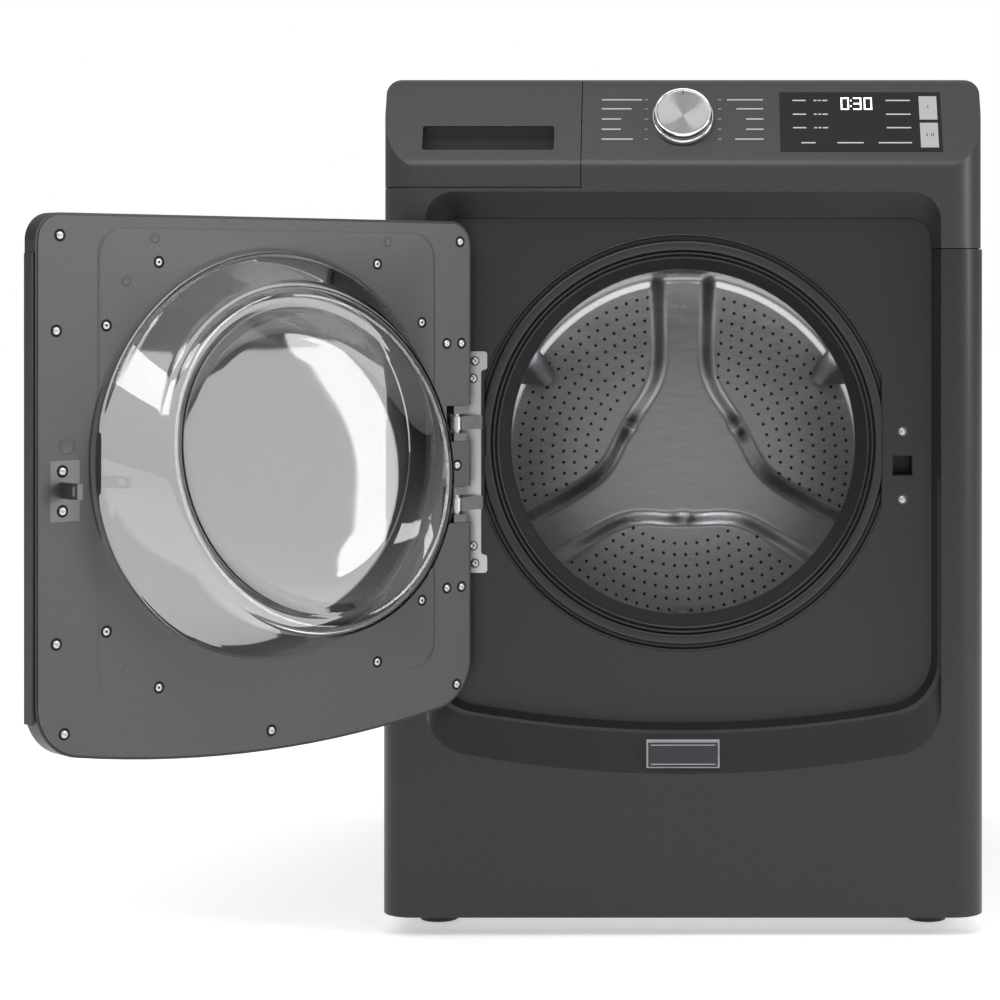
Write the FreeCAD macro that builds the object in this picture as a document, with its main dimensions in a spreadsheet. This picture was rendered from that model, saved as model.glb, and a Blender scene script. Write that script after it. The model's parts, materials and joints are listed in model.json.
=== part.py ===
import FreeCAD, Part
import Sketcher
import math
import os
import re

# Front-loading washing machine, millimetres. +Z is up, the front faces -Y and the origin is on the
# floor under the middle of the cabinet. The door stands open by door_open degrees, everything else
# is closed. The tub, the drum and the drive share one axis that dips towards the rear.

V = FreeCAD.Vector
X_DIR, Y_DIR, Z_DIR = V(1, 0, 0), V(0, 1, 0), V(0, 0, 1)

SIZES = (
    # cabinet
    ("cabinet_width", 686), ("cabinet_depth", 752), ("cabinet_height", 978), ("foot_height", 22),
    ("sheet_wall", 1.2), ("front_wall", 2), ("moulded_wall", 2.5), ("corner_radius", 35),
    ("front_wrap", 38), ("flange_width", 18), ("seam_gap", 1), ("assembly_gap", 0.5),
    ("top_panel_height", 28), ("base_height", 38), ("base_wall", 2),
    # control console
    ("console_width", 683), ("console_depth", 70), ("column_seam", 781.5), ("fold_height", 878),
    ("fold_radius", 20), ("slope_angle", 30), ("console_edge_radius", 18),
    ("display_left", 111), ("display_right", 296), ("display_low", 16.2), ("display_high", 97),
    ("display_proud", 0.8), ("button_left", 271), ("button_width", 20.5), ("button_gap", 0.4),
    ("button_proud", 1.4), ("button_stem", 4), ("power_low", 59), ("power_high", 91),
    ("start_low", 21), ("start_high", 54.5),
    ("knob_up", 60), ("knob_radius", 33), ("knob_skirt_radius", 36), ("knob_height", 17),
    ("knob_skirt_height", 8), ("knob_lift", 0.6), ("knob_shaft_radius", 3), ("shaft_fit", 0.05),
    # recess for the door, and the crescent slope below it
    ("recess_depth", 35), ("recess_half_width", 285), ("recess_top", 817), ("recess_bottom", 238),
    ("recess_flare", 8), ("recess_top_rise", 29), ("recess_top_corner", 25),
    ("recess_bottom_corner", 55), ("bottom_bow", 1380), ("crescent_depth", 12),
    ("crescent_top", 229), ("crescent_fall", 44), ("badge_width", 83), ("badge_height", 32),
    ("badge_wall", 3), ("mouth_height", 559.5), ("mouth_radius", 240), ("mouth_flat", 228),
    # dispenser drawer
    ("drawer_seam", -116), ("drawer_bottom", 851),
    ("slot_left", -297.5), ("slot_right", -147), ("slot_low", 894), ("slot_high", 922),
    ("slot_floor", 45), ("slot_corner", 3), ("tray_left", -312), ("tray_right", -128),
    ("tray_low", 862), ("tray_high", 918), ("tray_length", 284), ("tray_wall", 2),
    ("housing_gap", 4), ("housing_wall", 2), ("housing_front", 58),
    # door, drawn closed
    ("door_open", 136.6), ("door_gap", 3), ("door_gap_hinge", 12), ("door_gap_top", 5),
    ("door_top_corner", 28), ("door_edge", 22), ("door_crown", 16), ("door_wall", 2.5),
    ("inner_wall", 4), ("pivot_inset", 27.3), ("pivot_setback", 3), ("pivot_depth", 8),
    ("window_radius", 205), ("window_wall", 4), ("trim_width", 15), ("trim_proud", 2.5),
    ("bowl_radius", 212.5), ("bowl_rim_radius", 178), ("bowl_reach", 82), ("bowl_slant", 11.7),
    ("bowl_wall", 5), ("bowl_collar", 10), ("bowl_drop", 1.5), ("bowl_flange", 6.5),
    ("handle_low", 300), ("handle_high", 771), ("handle_proud", 3), ("handle_depth", 15),
    ("hinge_spread", 92), ("hinge_height", 537), ("arm_half_width", 4.5), ("arm_height", 15),
    ("arm_angle", 53), ("eye_radius", 6.5), ("pin_radius", 4), ("pin_length", 40),
    ("arm_slot", 22), ("lug_thickness", 9), ("slot_depth", 17), ("slot_reach", 20),
    ("bracket_height", 254), ("bracket_width", 30), ("bracket_wall", 2), ("ear_width", 7), ("ear_radius", 3.4),
    ("ear_height", 21), ("lock_x", 252), ("lock_z", 533), ("lock_slot", 24), ("lock_depth", 46),
    ("strike_width", 34), ("strike_height", 62), ("strike_wall", 2), ("hook_reach", 32),
    ("screw_radius", 4), ("screw_head", 1.6),
    # tub, drum and drive, along the tilted axis from the mouth
    ("tub_tilt", 5), ("axis_front", 51), ("axis_drop", 2.5), ("tub_radius", 302), ("tub_wall", 4),
    ("tub_front_at", 50), ("tub_joint_at", 319), ("tub_rear_at", 590), ("tub_flange", 10),
    ("tub_mouth", 235), ("drum_radius", 272), ("drum_wall", 1.2), ("drum_front_at", 62),
    ("drum_rear_at", 565), ("drum_mouth", 232), ("rear_wall", 2), ("star_height", 10),
    ("star_half_width", 33), ("star_reach", 255), ("star_hub", 95), ("baffle_apex", 200),
    ("baffle_half_width", 38), ("hub_radius", 45), ("hub_length", 42), ("bearing_radius", 31),
    ("shaft_radius", 15), ("seal_radius", 18), ("pulley_radius", 150), ("pulley_at", 636),
    ("pulley_width", 16), ("motor_pulley_radius", 12), ("motor_radius", 70), ("motor_length", 140),
    ("motor_drop", 382), ("belt_wall", 3), ("belt_gap", 0.3), ("weight_inner", 250),
    ("weight_depth", 30), ("weight_angle", 120), ("heater_radius", 4), ("heater_at", 285),
    ("damper_x", 150), ("damper_y", -60), ("damper_rod_radius", 5), ("damper_radius", 12),
    ("damper_bottom", 150), ("rod_top", 228), ("spring_x", 200), ("spring_y", 60),
    ("spring_radius", 14), ("lug_top", 768), ("rail_height", 23), ("tub_travel", 12),
    # fittings behind and below
    ("foot_x", 285), ("foot_front", 95), ("foot_rear", 70), ("foot_radius", 22),
    ("stud_radius", 5), ("stud_top", 50), ("boss_radius", 14), ("bolt_hole_radius", 15),
    ("bolt_spread_x", 440), ("bolt_spread_z", 320), ("bolt_height", 560), ("valve_radius", 13),
    ("valve_x", 250), ("valve_pitch", 60), ("valve_z", 900), ("port_reach", 18),
    ("drain_radius", 14), ("drain_x", -260), ("gland_radius", 9), ("gland_x", -150),
    ("cover_size", 290), ("cover_height", 330), ("port_gap", 2),
)

FRONT = "(-cabinet_depth/2)"
REAR = "(cabinet_depth/2)"
SIDE = "(cabinet_width/2)"
SEAT = "(-cabinet_depth/2 + recess_depth)"
CONSOLE_BACK = "(-cabinet_depth/2 + console_depth)"
BASE_TOP = "(foot_height + base_height)"
PANEL_TOP = "(cabinet_height - top_panel_height)"
HINGE_X = "(pivot_inset - recess_half_width)"
HINGE_Y = "(-cabinet_depth/2 + pivot_setback)"
DOOR_BACK = "(-cabinet_depth/2 + pivot_setback + pivot_depth)"
DOOR_LEFT = "(door_gap_hinge - recess_half_width)"
DOOR_RIGHT = "(recess_half_width - door_gap)"
BOWL_Z = "(mouth_height - bowl_drop)"

doc = FreeCAD.newDocument("FrontLoadWasher")
sheet = doc.addObject("Spreadsheet::Sheet", "Dims")
for row, (alias, number) in enumerate(SIZES, 1):
    sheet.set(f"A{row}", alias)
    sheet.set(f"B{row}", str(number))
    sheet.setAlias(f"B{row}", alias)
doc.recompute()
ALIASES = {alias for alias, _ in SIZES}
parts = []


def bound(expression):
    """The expression with each size's name pointed at its cell of the sheet."""
    return re.sub(r"[a-z_]+", lambda m: f"Dims.{m[0]}" if m[0] in ALIASES else m[0], str(expression))


def size(expression):
    """The number that an expression in the sizes' names gives."""
    return float(sheet.evalExpression(bound(expression)))


def bind(thing, prop, expression):
    thing.setExpression(prop, bound(expression))


def keep(thing):
    """Counts the object as a sub-part of the machine; its Label names its file."""
    parts.append(thing)
    return thing


# ---- placements ---------------------------------------------------------------------------

def on_axis(thing):
    """Moves an object drawn along +Y from the origin onto the tub's tilted axis."""
    thing.Placement = FreeCAD.Placement(V(), FreeCAD.Rotation(X_DIR, -1))
    bind(thing, "Placement.Base.y", "axis_front - cabinet_depth/2")
    bind(thing, "Placement.Base.z", "mouth_height - axis_drop")
    bind(thing, "Placement.Rotation.Angle", "-tub_tilt")
    return thing


def on_slope(thing):
    """Moves an object drawn with +Z up the slope and +Y into the console onto its sloped face."""
    thing.Placement = FreeCAD.Placement(V(), FreeCAD.Rotation(X_DIR, -1))
    bind(thing, "Placement.Base.y", FRONT)
    bind(thing, "Placement.Base.z", "fold_height")
    bind(thing, "Placement.Rotation.Angle", "-slope_angle")
    return thing


def swung(thing):
    """Turns an object drawn on the closed door round the hinge pins to the open door."""
    pivot = V(size(HINGE_X), size(HINGE_Y), 0)
    turn = FreeCAD.Rotation(Z_DIR, -size("door_open"))
    thing.Placement = FreeCAD.Placement(V(), turn, pivot)
    return thing


# ---- pieces drawn as bodies ---------------------------------------------------------------

def polygon_sketch(body, role, outline, offset="0"):
    """A closed polygon on one of the body's origin planes, each corner bound to the sheet."""
    sketch = body.newObject("Sketcher::SketchObject", f"{body.Name}_outline")
    plane = next(f for f in body.Origin.OriginFeatures if f.Role == role)
    sketch.AttachmentSupport = [(plane, "")]
    sketch.MapMode = "FlatFace"
    bind(sketch, "AttachmentOffset.Base.z", offset)
    points = [(size(a), size(b)) for a, b in outline]
    count = len(points)
    for i, (a, b) in enumerate(points):
        following = points[(i + 1) % count]
        sketch.addGeometry(Part.LineSegment(V(a, b, 0), V(*following, 0)))
    for i in range(count):
        sketch.addConstraint(Sketcher.Constraint("Coincident", i, 2, (i + 1) % count, 1))
    for i, corner in enumerate(outline):
        for kind, expression, number in zip(("DistanceX", "DistanceY"), corner, points[i]):
            index = sketch.addConstraint(Sketcher.Constraint(kind, -1, 1, i, 1, number))
            bind(sketch, f"Constraints[{index}]", expression)
    return sketch


def pad(body, role, outline, low, high):
    """Pads a polygon between two distances along its plane's normal."""
    feature = body.newObject("PartDesign::Pad", f"{body.Name}_pad")
    feature.Profile = polygon_sketch(body, role, outline, low)
    bind(feature, "Length", f"({high}) - ({low})")
    return feature


def new_body(name):
    return doc.addObject("PartDesign::Body", name)


def rectangle(left, right, low, high):
    return ((left, low), (right, low), (right, high), (left, high))


def turned(name, outline, angle=360):
    """A body turned about the Y axis from an outline of (distance along Y, radius) corners."""
    body = new_body(name)
    feature = body.newObject("PartDesign::Revolution", f"{name}_turn")
    sketch = polygon_sketch(body, "YZ_Plane", outline)
    feature.Profile = sketch
    feature.ReferenceAxis = (sketch, ["H_Axis"])
    feature.Angle = angle
    return body


def turned_upright(name, outline):
    """A body turned about the Z axis from an outline of (radius, height) corners."""
    body = new_body(name)
    feature = body.newObject("PartDesign::Revolution", f"{name}_turn")
    sketch = polygon_sketch(body, "XZ_Plane", outline)
    feature.Profile = sketch
    feature.ReferenceAxis = (sketch, ["V_Axis"])
    feature.Angle = 360
    return body


# ---- primitives and booleans --------------------------------------------------------------

def box(name, x, y, z):
    """A box between the low and high faces given for each direction."""
    solid = doc.addObject("Part::Box", name)
    for prop, along, (low, high) in (("Length", "x", x), ("Width", "y", y), ("Height", "z", z)):
        bind(solid, prop, f"({high}) - ({low})")
        bind(solid, f"Placement.Base.{along}", low)
    return solid


def cylinder(name, direction, radius, centre, low, high):
    """A cylinder along X, Y or Z round a centre given in the two other directions."""
    solid = doc.addObject("Part::Cylinder", name)
    solid.Placement = FreeCAD.Placement(V(), FreeCAD.Rotation(Z_DIR, direction))
    names = [axis for axis, part in zip("xyz", direction) if not part]
    along = next(axis for axis, part in zip("xyz", direction) if part)
    bind(solid, "Radius", radius)
    bind(solid, "Height", f"({high}) - ({low})")
    bind(solid, f"Placement.Base.{along}", low)
    for axis, expression in zip(names, centre):
        bind(solid, f"Placement.Base.{axis}", expression)
    return solid


def fused(name, *pieces):
    solid = doc.addObject("Part::MultiFuse", name)
    solid.Shapes = list(pieces)
    return solid


def cut(name, base, *tools):
    solid = doc.addObject("Part::Cut", name)
    solid.Base = base
    solid.Tool = tools[0] if len(tools) == 1 else fused(f"{name}_tools", *tools)
    return solid


def common(name, *pieces):
    solid = doc.addObject("Part::MultiCommon", name)
    solid.Shapes = list(pieces)
    return solid


def shaped(name, shape):
    """A sub-part whose shape is worked out with solid modelling functions from the sheet."""
    feature = doc.addObject("Part::Feature", name)
    feature.Shape = shape
    return feature


# ---- outlines and solids for the shaped pieces ----------------------------------------------

def rounded_wire(*corners):
    """A closed wire through (point, radius) corners."""
    bends = []
    for i, (point, radius) in enumerate(corners):
        back = (corners[i - 1][0] - point).normalize()
        ahead = (corners[(i + 1) % len(corners)][0] - point).normalize()
        if radius <= 0:
            bends.append((point, None, point))
            continue
        half = back.getAngle(ahead) / 2
        inward = (back + ahead).normalize()
        centre = point + inward * (radius / math.sin(half))
        reach = radius / math.tan(half)
        bends.append((point + back * reach, centre - inward * radius, point + ahead * reach))
    edges = []
    for i, (start, middle, end) in enumerate(bends):
        if middle:
            edges.append(Part.Arc(start, middle, end).toShape())
        edges.append(Part.makeLine(end, bends[(i + 1) % len(bends)][0]))
    return Part.Wire(edges)


def prism(wire, direction):
    return Part.Face(wire).extrude(direction)


def block(low, high):
    return Part.makeBox(*(V(*high) - V(*low)), V(*low))


def rod(radius, start, end):
    return Part.makeCylinder(radius, (end - start).Length, start, end - start)


def shield(y, left, right, top, bottom, top_corner, bottom_corner):
    """The door's kind of outline in the plane Y = y: straight top and sides, bowed bottom."""
    bow = size("bottom_bow")
    middle = (left + right) / 2
    side = right - bottom_corner - middle
    corner_z = bottom + bow - math.sqrt((bow - bottom_corner) ** 2 - side ** 2)
    turn = math.atan2(corner_z - bottom - bow, side)

    def arc(centre_x, centre_z, radius, first, last):
        angles = (first, (first + last) / 2, last)
        spots = [V(centre_x + radius * math.cos(a), y, centre_z + radius * math.sin(a)) for a in angles]
        return Part.Arc(*spots).toShape(), spots[0], spots[2]

    low_right, right_low, bottom_right = arc(right - bottom_corner, corner_z, bottom_corner, 0, turn)
    low_left, bottom_left, left_low = arc(left + bottom_corner, corner_z, bottom_corner,
                                          -math.pi - turn, -math.pi)
    high_left, left_high, top_left = arc(left + top_corner, top - top_corner, top_corner,
                                         math.pi, math.pi / 2)
    high_right, top_right, right_high = arc(right - top_corner, top - top_corner, top_corner,
                                            math.pi / 2, 0)
    bottom_arc = Part.Arc(bottom_right, V(middle, y, bottom), bottom_left).toShape()
    return Part.Wire([Part.makeLine(right_high, right_low), low_right, bottom_arc, low_left,
                      Part.makeLine(left_low, left_high), high_left,
                      Part.makeLine(top_left, top_right), high_right])


def recess_outline(y, spread, rise, grown):
    """The recess at one depth: spread and rise widen it towards the front."""
    half = size("recess_half_width") + spread + grown
    return shield(y, -half, half, size("recess_top") + rise + grown,
                  size("recess_bottom") - grown - spread,
                  size("recess_top_corner") + grown + spread,
                  size("recess_bottom_corner") + grown + spread)


def recess_cutter(grown, back):
    """The space in front of the recess's walls, widening forwards, then straight back to Y = back."""
    front, seat = size(FRONT), size(SEAT)
    spread, rise = size("recess_flare"), size("recess_top_rise")
    inner = recess_outline(seat, 0, 0, grown)
    outer = recess_outline(front, spread, rise, grown)
    flare = Part.makeLoft([outer, inner], True, True)
    pieces = [prism(outer, V(0, -10, 0))]
    if back > seat:
        pieces.append(prism(inner, V(0, back - seat, 0)))
    return flare.fuse(pieces)


def crescent_cutter(grown):
    """The shallow slope under the recess, from its deepest line down to the flat lower face."""
    front = size(FRONT)
    half = size("recess_half_width + recess_flare") + grown
    top = size("mouth_height")
    low = size("crescent_top - crescent_fall") - grown
    corner = size("recess_bottom_corner")
    outer = shield(front, -half, half, top, low, corner, corner)
    inner_low = size("crescent_top") - grown
    inner = shield(front + size("crescent_depth") + grown, -half, half, top, inner_low, corner, corner)
    return Part.makeLoft([outer, inner], True, True).fuse(prism(outer, V(0, -10, 0)))


def plan_block(width, back, low, high, inset):
    """A block with rounded front corners, drawn in plan."""
    half, front = width / 2 - inset, size(FRONT) + inset
    radius = size("corner_radius") - inset
    wire = rounded_wire((V(-half, back, low), 0), (V(-half, front, low), radius),
                        (V(half, front, low), radius), (V(half, back, low), 0))
    return prism(wire, V(0, 0, high - low))


def console_block(inset, bottom, back):
    """The console's outside, or its inside when inset, from its side, front and plan outlines."""
    width, front = size("console_width"), size(FRONT) + inset
    top = size("cabinet_height") - inset
    slope = math.radians(size("slope_angle"))
    fold = size("fold_height") - inset * math.tan(slope / 2)
    ridge = size(FRONT) + (inset + (top - size("fold_height")) * math.sin(slope)) / math.cos(slope)
    edge = size("console_edge_radius") - inset
    side = rounded_wire((V(-width, back, bottom), 0), (V(-width, front, bottom), 0),
                        (V(-width, front, fold), size("fold_radius") - inset),
                        (V(-width, ridge, top), edge), (V(-width, back, top), 0))
    half = width / 2 - inset
    face = rounded_wire((V(-half, front - 1, bottom), 0), (V(-half, front - 1, top), edge),
                        (V(half, front - 1, top), edge), (V(half, front - 1, bottom), 0))
    plan = plan_block(width, back, bottom, top, inset)
    return prism(side, V(2 * width, 0, 0)).common(prism(face, V(0, back - front + 2, 0))).common(plan)


def slope_point(up, out=0):
    """A point of the console's sloped face, so far up the slope and out along its normal."""
    slope = math.radians(size("slope_angle"))
    return V(0, size(FRONT) + up * math.sin(slope) - out * math.cos(slope),
             size("fold_height") + up * math.cos(slope) + out * math.sin(slope))


def sloped(shape):
    """A shape drawn in the sloped face's own frame, moved onto the face."""
    turn = FreeCAD.Rotation(X_DIR, -size("slope_angle"))
    return shape.transformGeometry(FreeCAD.Placement(slope_point(0), turn).toMatrix())


# ---- cabinet --------------------------------------------------------------------------------

def side_panel(name, side):
    """One side sheet, cut back under the console, with a folded flange front and rear."""
    body = new_body(name)
    wall, fold = "sheet_wall", "flange_width"
    outer = SIDE if side > 0 else f"-{SIDE} + {wall}"
    inner = f"{outer} - {wall}"
    flange = (f"{SIDE} - {fold}", SIDE) if side > 0 else (f"-{SIDE}", f"-{SIDE} + {fold}")
    shoulder, top = "column_seam - seam_gap/2", f"{PANEL_TOP} - assembly_gap"
    low_front = f"{FRONT} + front_wrap + assembly_gap"
    high_front = f"{CONSOLE_BACK} + assembly_gap"
    rear = f"{REAR} - {wall} - assembly_gap"
    sheet_outline = ((low_front, "foot_height"), (rear, "foot_height"), (rear, top),
                     (high_front, top), (high_front, shoulder), (low_front, shoulder))
    pad(body, "YZ_Plane", sheet_outline, inner, outer)
    above_base = f"{BASE_TOP} + seam_gap"
    pad(body, "YZ_Plane", rectangle(low_front, f"{low_front} + {wall}", above_base, shoulder), *flange)
    pad(body, "YZ_Plane", rectangle(f"{rear} - {wall}", rear, above_base, top), *flange)
    return keep(body)


def rear_panel():
    sheet_box = box("rear_sheet", (f"-{SIDE} + sheet_wall", f"{SIDE} - sheet_wall"),
                    (f"{REAR} - sheet_wall", REAR), ("foot_height + seam_gap", f"{PANEL_TOP} - assembly_gap"))
    through = (f"{REAR} - 5", f"{REAR} + 5")
    half = "(cover_size/2 - 15)"
    tools = [box("access_opening", (f"-{half}", half), through,
                 (f"cover_height - {half}", f"cover_height + {half}"))]
    for i in (-1, 1):
        for k in (-1, 1):
            spot = (f"{i}*bolt_spread_x/2", f"bolt_height + {k}*bolt_spread_z/2")
            tools.append(cylinder("transport_hole", Y_DIR, "bolt_hole_radius", spot, *through))
        valve = (f"valve_x + {i}*valve_pitch/2", "valve_z")
        tools.append(cylinder("valve_hole", Y_DIR, "valve_radius + port_gap", valve, *through))
    tools.append(cylinder("drain_hole", Y_DIR, "drain_radius + port_gap", ("drain_x", "valve_z"), *through))
    tools.append(cylinder("gland_hole", Y_DIR, "gland_radius + port_gap", ("gland_x", "valve_z"), *through))
    keep(cut("rear_panel", sheet_box, *tools))


def rear_access_cover():
    half = "(cover_size/2)"
    keep(box("rear_access_cover", (f"-{half}", half), (REAR, f"{REAR} + sheet_wall"),
             (f"cover_height - {half}", f"cover_height + {half}")))


def round_upper(name, base, radius):
    """Rounds a box's upper edges, apart from the one along its front."""
    doc.recompute()
    limits = base.Shape.BoundBox
    rounded = doc.addObject("Part::Fillet", name)
    rounded.Base = base
    rounded.Edges = [(i, radius, radius) for i, edge in enumerate(base.Shape.Edges, 1)
                     if abs(edge.BoundBox.ZMin - limits.ZMax) < 0.01 and edge.CenterOfMass.y - limits.YMin > 1]
    return rounded


def top_panel():
    """The worktop: a shallow pan turned upside down, its upper edges rounded."""
    front, wall = f"{CONSOLE_BACK} + seam_gap", "sheet_wall"
    outside = box("top_outside", (f"-{SIDE}", SIDE), (front, REAR), (PANEL_TOP, "cabinet_height"))
    inside = box("top_inside", (f"-{SIDE} + {wall}", f"{SIDE} - {wall}"),
                 (f"{front} + {wall}", f"{REAR} - {wall}"), (f"{PANEL_TOP} - 5", f"cabinet_height - {wall}"))
    keep(cut("top_panel", round_upper("top_rounded", outside, size("console_edge_radius")),
             round_upper("top_hollow", inside, size("console_edge_radius") - size(wall))))


def front_panel():
    """The front sheet with its columns, the recess that the door closes and the crescent slope."""
    wall = size("front_wall")
    back = size(FRONT) + size("front_wrap")
    low, high = size("foot_height"), size("column_seam - seam_gap/2")
    seat_back = size(SEAT) + wall
    outside = plan_block(size("cabinet_width"), back, low, high, 0)
    outside = outside.cut([recess_cutter(0, size(SEAT)), crescent_cutter(0)])
    inside = plan_block(size("cabinet_width"), back + 1, low - 1, high + 1, wall)
    inside = inside.cut([recess_cutter(wall, seat_back), crescent_cutter(wall)])
    upper = recess_outline(size(SEAT), 0, 0, -size("assembly_gap"))
    seat = prism(upper, V(0, wall, 0)).common(block((-400, back - 50, high - 20), (400, back + 50, 2000)))
    shell = outside.cut(inside).fuse(seat)
    mouth = rod(size("mouth_radius"), V(0, back - 50, size("mouth_height")), V(0, back + 50, size("mouth_height")))
    flat = size("mouth_flat")
    mouth = mouth.common(block((-flat, back - 60, 0), (flat, back + 60, 2000)))
    half = size("lock_slot/2")
    x, z = size("lock_x"), size("lock_z")
    slot = block((x - half, back - 50, z - half), (x + half, back + 50, z + half))
    keep(shaped("front_panel", shell.cut([mouth, slot]).removeSplitter()))


def base_frame():
    """The bottom tray with a boss over each foot."""
    half = f"({SIDE} - sheet_wall - assembly_gap)"
    front, rear = f"{FRONT} + front_wrap + assembly_gap", f"{REAR} - sheet_wall - assembly_gap"
    wall = "base_wall"
    outside = box("base_outside", (f"-{half}", half), (front, rear), ("foot_height", BASE_TOP))
    inside = box("base_inside", (f"-{half} + {wall}", f"{half} - {wall}"), (f"{front} + {wall}", f"{rear} - {wall}"),
                 (f"foot_height + {wall}", f"{BASE_TOP} + 1"))
    tray = cut("base_tray", outside, inside)
    bosses, bores = [], []
    for x, y in FOOT_SPOTS:
        bosses.append(cylinder("foot_boss", Z_DIR, "boss_radius", (x, y), "foot_height", "stud_top + 2"))
        bores.append(cylinder("foot_bore", Z_DIR, "stud_radius + shaft_fit", (x, y), "foot_height - 1", "stud_top + 1"))
    keep(cut("base_frame", fused("base_with_bosses", tray, *bosses), *bores))


FOOT_SPOTS = [(f"{side}*foot_x", y) for side in (-1, 1)
              for y in (f"({FRONT} + foot_front)", f"({REAR} - foot_rear)")]


def levelling_feet():
    outline = (("0", "0"), ("foot_radius", "0"), ("foot_radius", "8"), ("stud_radius + 4", "13"),
               ("stud_radius + 4", "19"), ("stud_radius", "19"), ("stud_radius", "stud_top"), ("0", "stud_top"))
    for number, (x, y) in enumerate(FOOT_SPOTS, 1):
        foot = turned_upright(f"levelling_foot_{number}", outline)
        bind(foot, "Placement.Base.x", x)
        bind(foot, "Placement.Base.y", y)
        keep(foot)


def badge_plate():
    """A plain plate on the crescent slope."""
    body = new_body("badge_plate")
    half = "badge_width/2"
    pad(body, "XZ_Plane", rectangle(f"-{half}", half, "-badge_height/2", "badge_height/2"), "0", "badge_wall")
    body.Placement = FreeCAD.Placement(V(), FreeCAD.Rotation(X_DIR, -1))
    bind(body, "Placement.Base.y", f"{FRONT} + crescent_depth/2 - assembly_gap")
    bind(body, "Placement.Base.z", "crescent_top - crescent_fall/2")
    bind(body, "Placement.Rotation.Angle", "-atan(crescent_depth/crescent_fall)")
    keep(body)


# ---- console and drawer ------------------------------------------------------------------------

def console_shell():
    wall = size("moulded_wall")
    bottom, back = size("column_seam + seam_gap/2"), size(CONSOLE_BACK)
    outside = console_block(0, bottom, back).cut(recess_cutter(0, back + 1))
    inside = console_block(wall, bottom - 1, back + 1).cut(recess_cutter(wall, back + 2))
    return outside.cut(inside)


def control_console():
    """The moulding across the top, without the drawer's corner and with its control openings."""
    gap = size("seam_gap/2")
    corner = block((-400, -500, size("drawer_bottom") - gap), (size("drawer_seam") + gap, 0, 1100))
    openings = [sloped(block((x0 - g, -5, u0 - g), (x1 + g, 8, u1 + g)))
                for x0, x1, u0, u1, g in button_windows()]
    up = size("knob_up")
    bore = rod(size("knob_shaft_radius + shaft_fit"), slope_point(up, 10), slope_point(up, -10))
    keep(shaped("control_console", console_shell().cut([corner, bore] + openings).removeSplitter()))


def button_windows():
    left = size("button_left")
    right = left + size("button_width")
    gap = size("button_gap")
    return [(left, right, size("power_low"), size("power_high"), gap),
            (left, right, size("start_low"), size("start_high"), gap)]


def display_panel():
    """The dark display plate on the slope, open round the two buttons."""
    plate = block((size("display_left"), -size("display_proud"), size("display_low")),
                  (size("display_right"), 0, size("display_high")))
    holes = [block((x0 - g, -5, u0 - g), (x1 + g, 5, u1 + g)) for x0, x1, u0, u1, g in button_windows()]
    keep(shaped("display_panel", sloped(plate.cut(holes))))


def push_button(name, low, high):
    body = new_body(name)
    outline = rectangle("button_left", "button_left + button_width", low, high)
    pad(body, "XZ_Plane", outline, "-button_stem", "button_proud")
    keep(on_slope(body))


def knob():
    """The turning dial: a skirt ring, and a cap with its shaft."""
    lift, skirt = "-knob_lift", "-knob_skirt_height"
    ring = turned("knob_ring", ((lift, "knob_radius + 0.2"), (lift, "knob_skirt_radius"),
                                (f"{skirt} + 1", "knob_skirt_radius"), (skirt, "knob_skirt_radius - 1"),
                                (skirt, "knob_radius + 0.2")))
    top = "-knob_height"
    cap = turned("knob_cap", (("6", "0"), ("6", "knob_shaft_radius"), (lift, "knob_shaft_radius"),
                              (lift, "knob_radius"), (f"{top} + 2", "knob_radius"), (top, "knob_radius - 2"),
                              (top, "0")))
    for piece in (ring, cap):
        on_slope(piece)
        bind(piece, "Placement.Base.y", f"{FRONT} + knob_up*sin(slope_angle)")
        bind(piece, "Placement.Base.z", "fold_height + knob_up*cos(slope_angle)")
        keep(piece)


def drawer_front():
    """The console's left corner, which carries the finger slot and moves with the drawer."""
    gap, wall = size("seam_gap/2"), size("moulded_wall")
    back = size(CONSOLE_BACK)
    low, right = size("drawer_bottom") + gap, size("drawer_seam") - gap
    corner = block((-400, -500, low), (right, 0, 1100))
    inside = console_block(wall, low - 20, back + 1)
    shell = console_block(0, low - 20, back).cut(inside).common(corner)

    def slot(grown, floor):
        x0, x1 = size("slot_left") - grown, size("slot_right") + grown
        z0, z1 = size("slot_low") - grown, size("slot_high") + grown
        y, radius = size(FRONT) - 5, size("slot_corner") + grown
        wire = rounded_wire((V(x0, y, z0), radius), (V(x0, y, z1), radius), (V(x1, y, z1), radius),
                            (V(x1, y, z0), radius))
        return prism(wire, V(0, floor + 5, 0))

    floor = size("slot_floor")
    pocket = slot(size("tray_wall"), floor + size("tray_wall")).common(console_block(wall / 2, low, back))
    keep(shaped("drawer_front", shell.fuse(pocket).cut(slot(0, floor)).removeSplitter()))


TRAY_FRONT = "(-cabinet_depth/2 + slot_floor + tray_wall)"


def drawer_tray():
    """The dispenser's tray, with a wall along it and one across for three compartments."""
    wall = "tray_wall"
    rear = f"({TRAY_FRONT} + tray_length)"
    outside = box("tray_outside", ("tray_left", "tray_right"), (TRAY_FRONT, rear), ("tray_low", "tray_high"))
    split_x = "(tray_left + 0.6*(tray_right - tray_left))"
    split_y = f"({TRAY_FRONT} + 0.45*tray_length)"
    deep = (f"tray_low + {wall}", "tray_high + 1")
    wash = box("wash_compartment", (f"tray_left + {wall}", split_x), (f"{TRAY_FRONT} + {wall}", f"{rear} - {wall}"), deep)
    near = box("softener_compartment", (f"{split_x} + {wall}", f"tray_right - {wall}"),
               (f"{TRAY_FRONT} + {wall}", split_y), deep)
    far = box("bleach_compartment", (f"{split_x} + {wall}", f"tray_right - {wall}"),
              (f"{split_y} + {wall}", f"{rear} - {wall}"), deep)
    keep(cut("drawer_tray", outside, wash, near, far))


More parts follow.
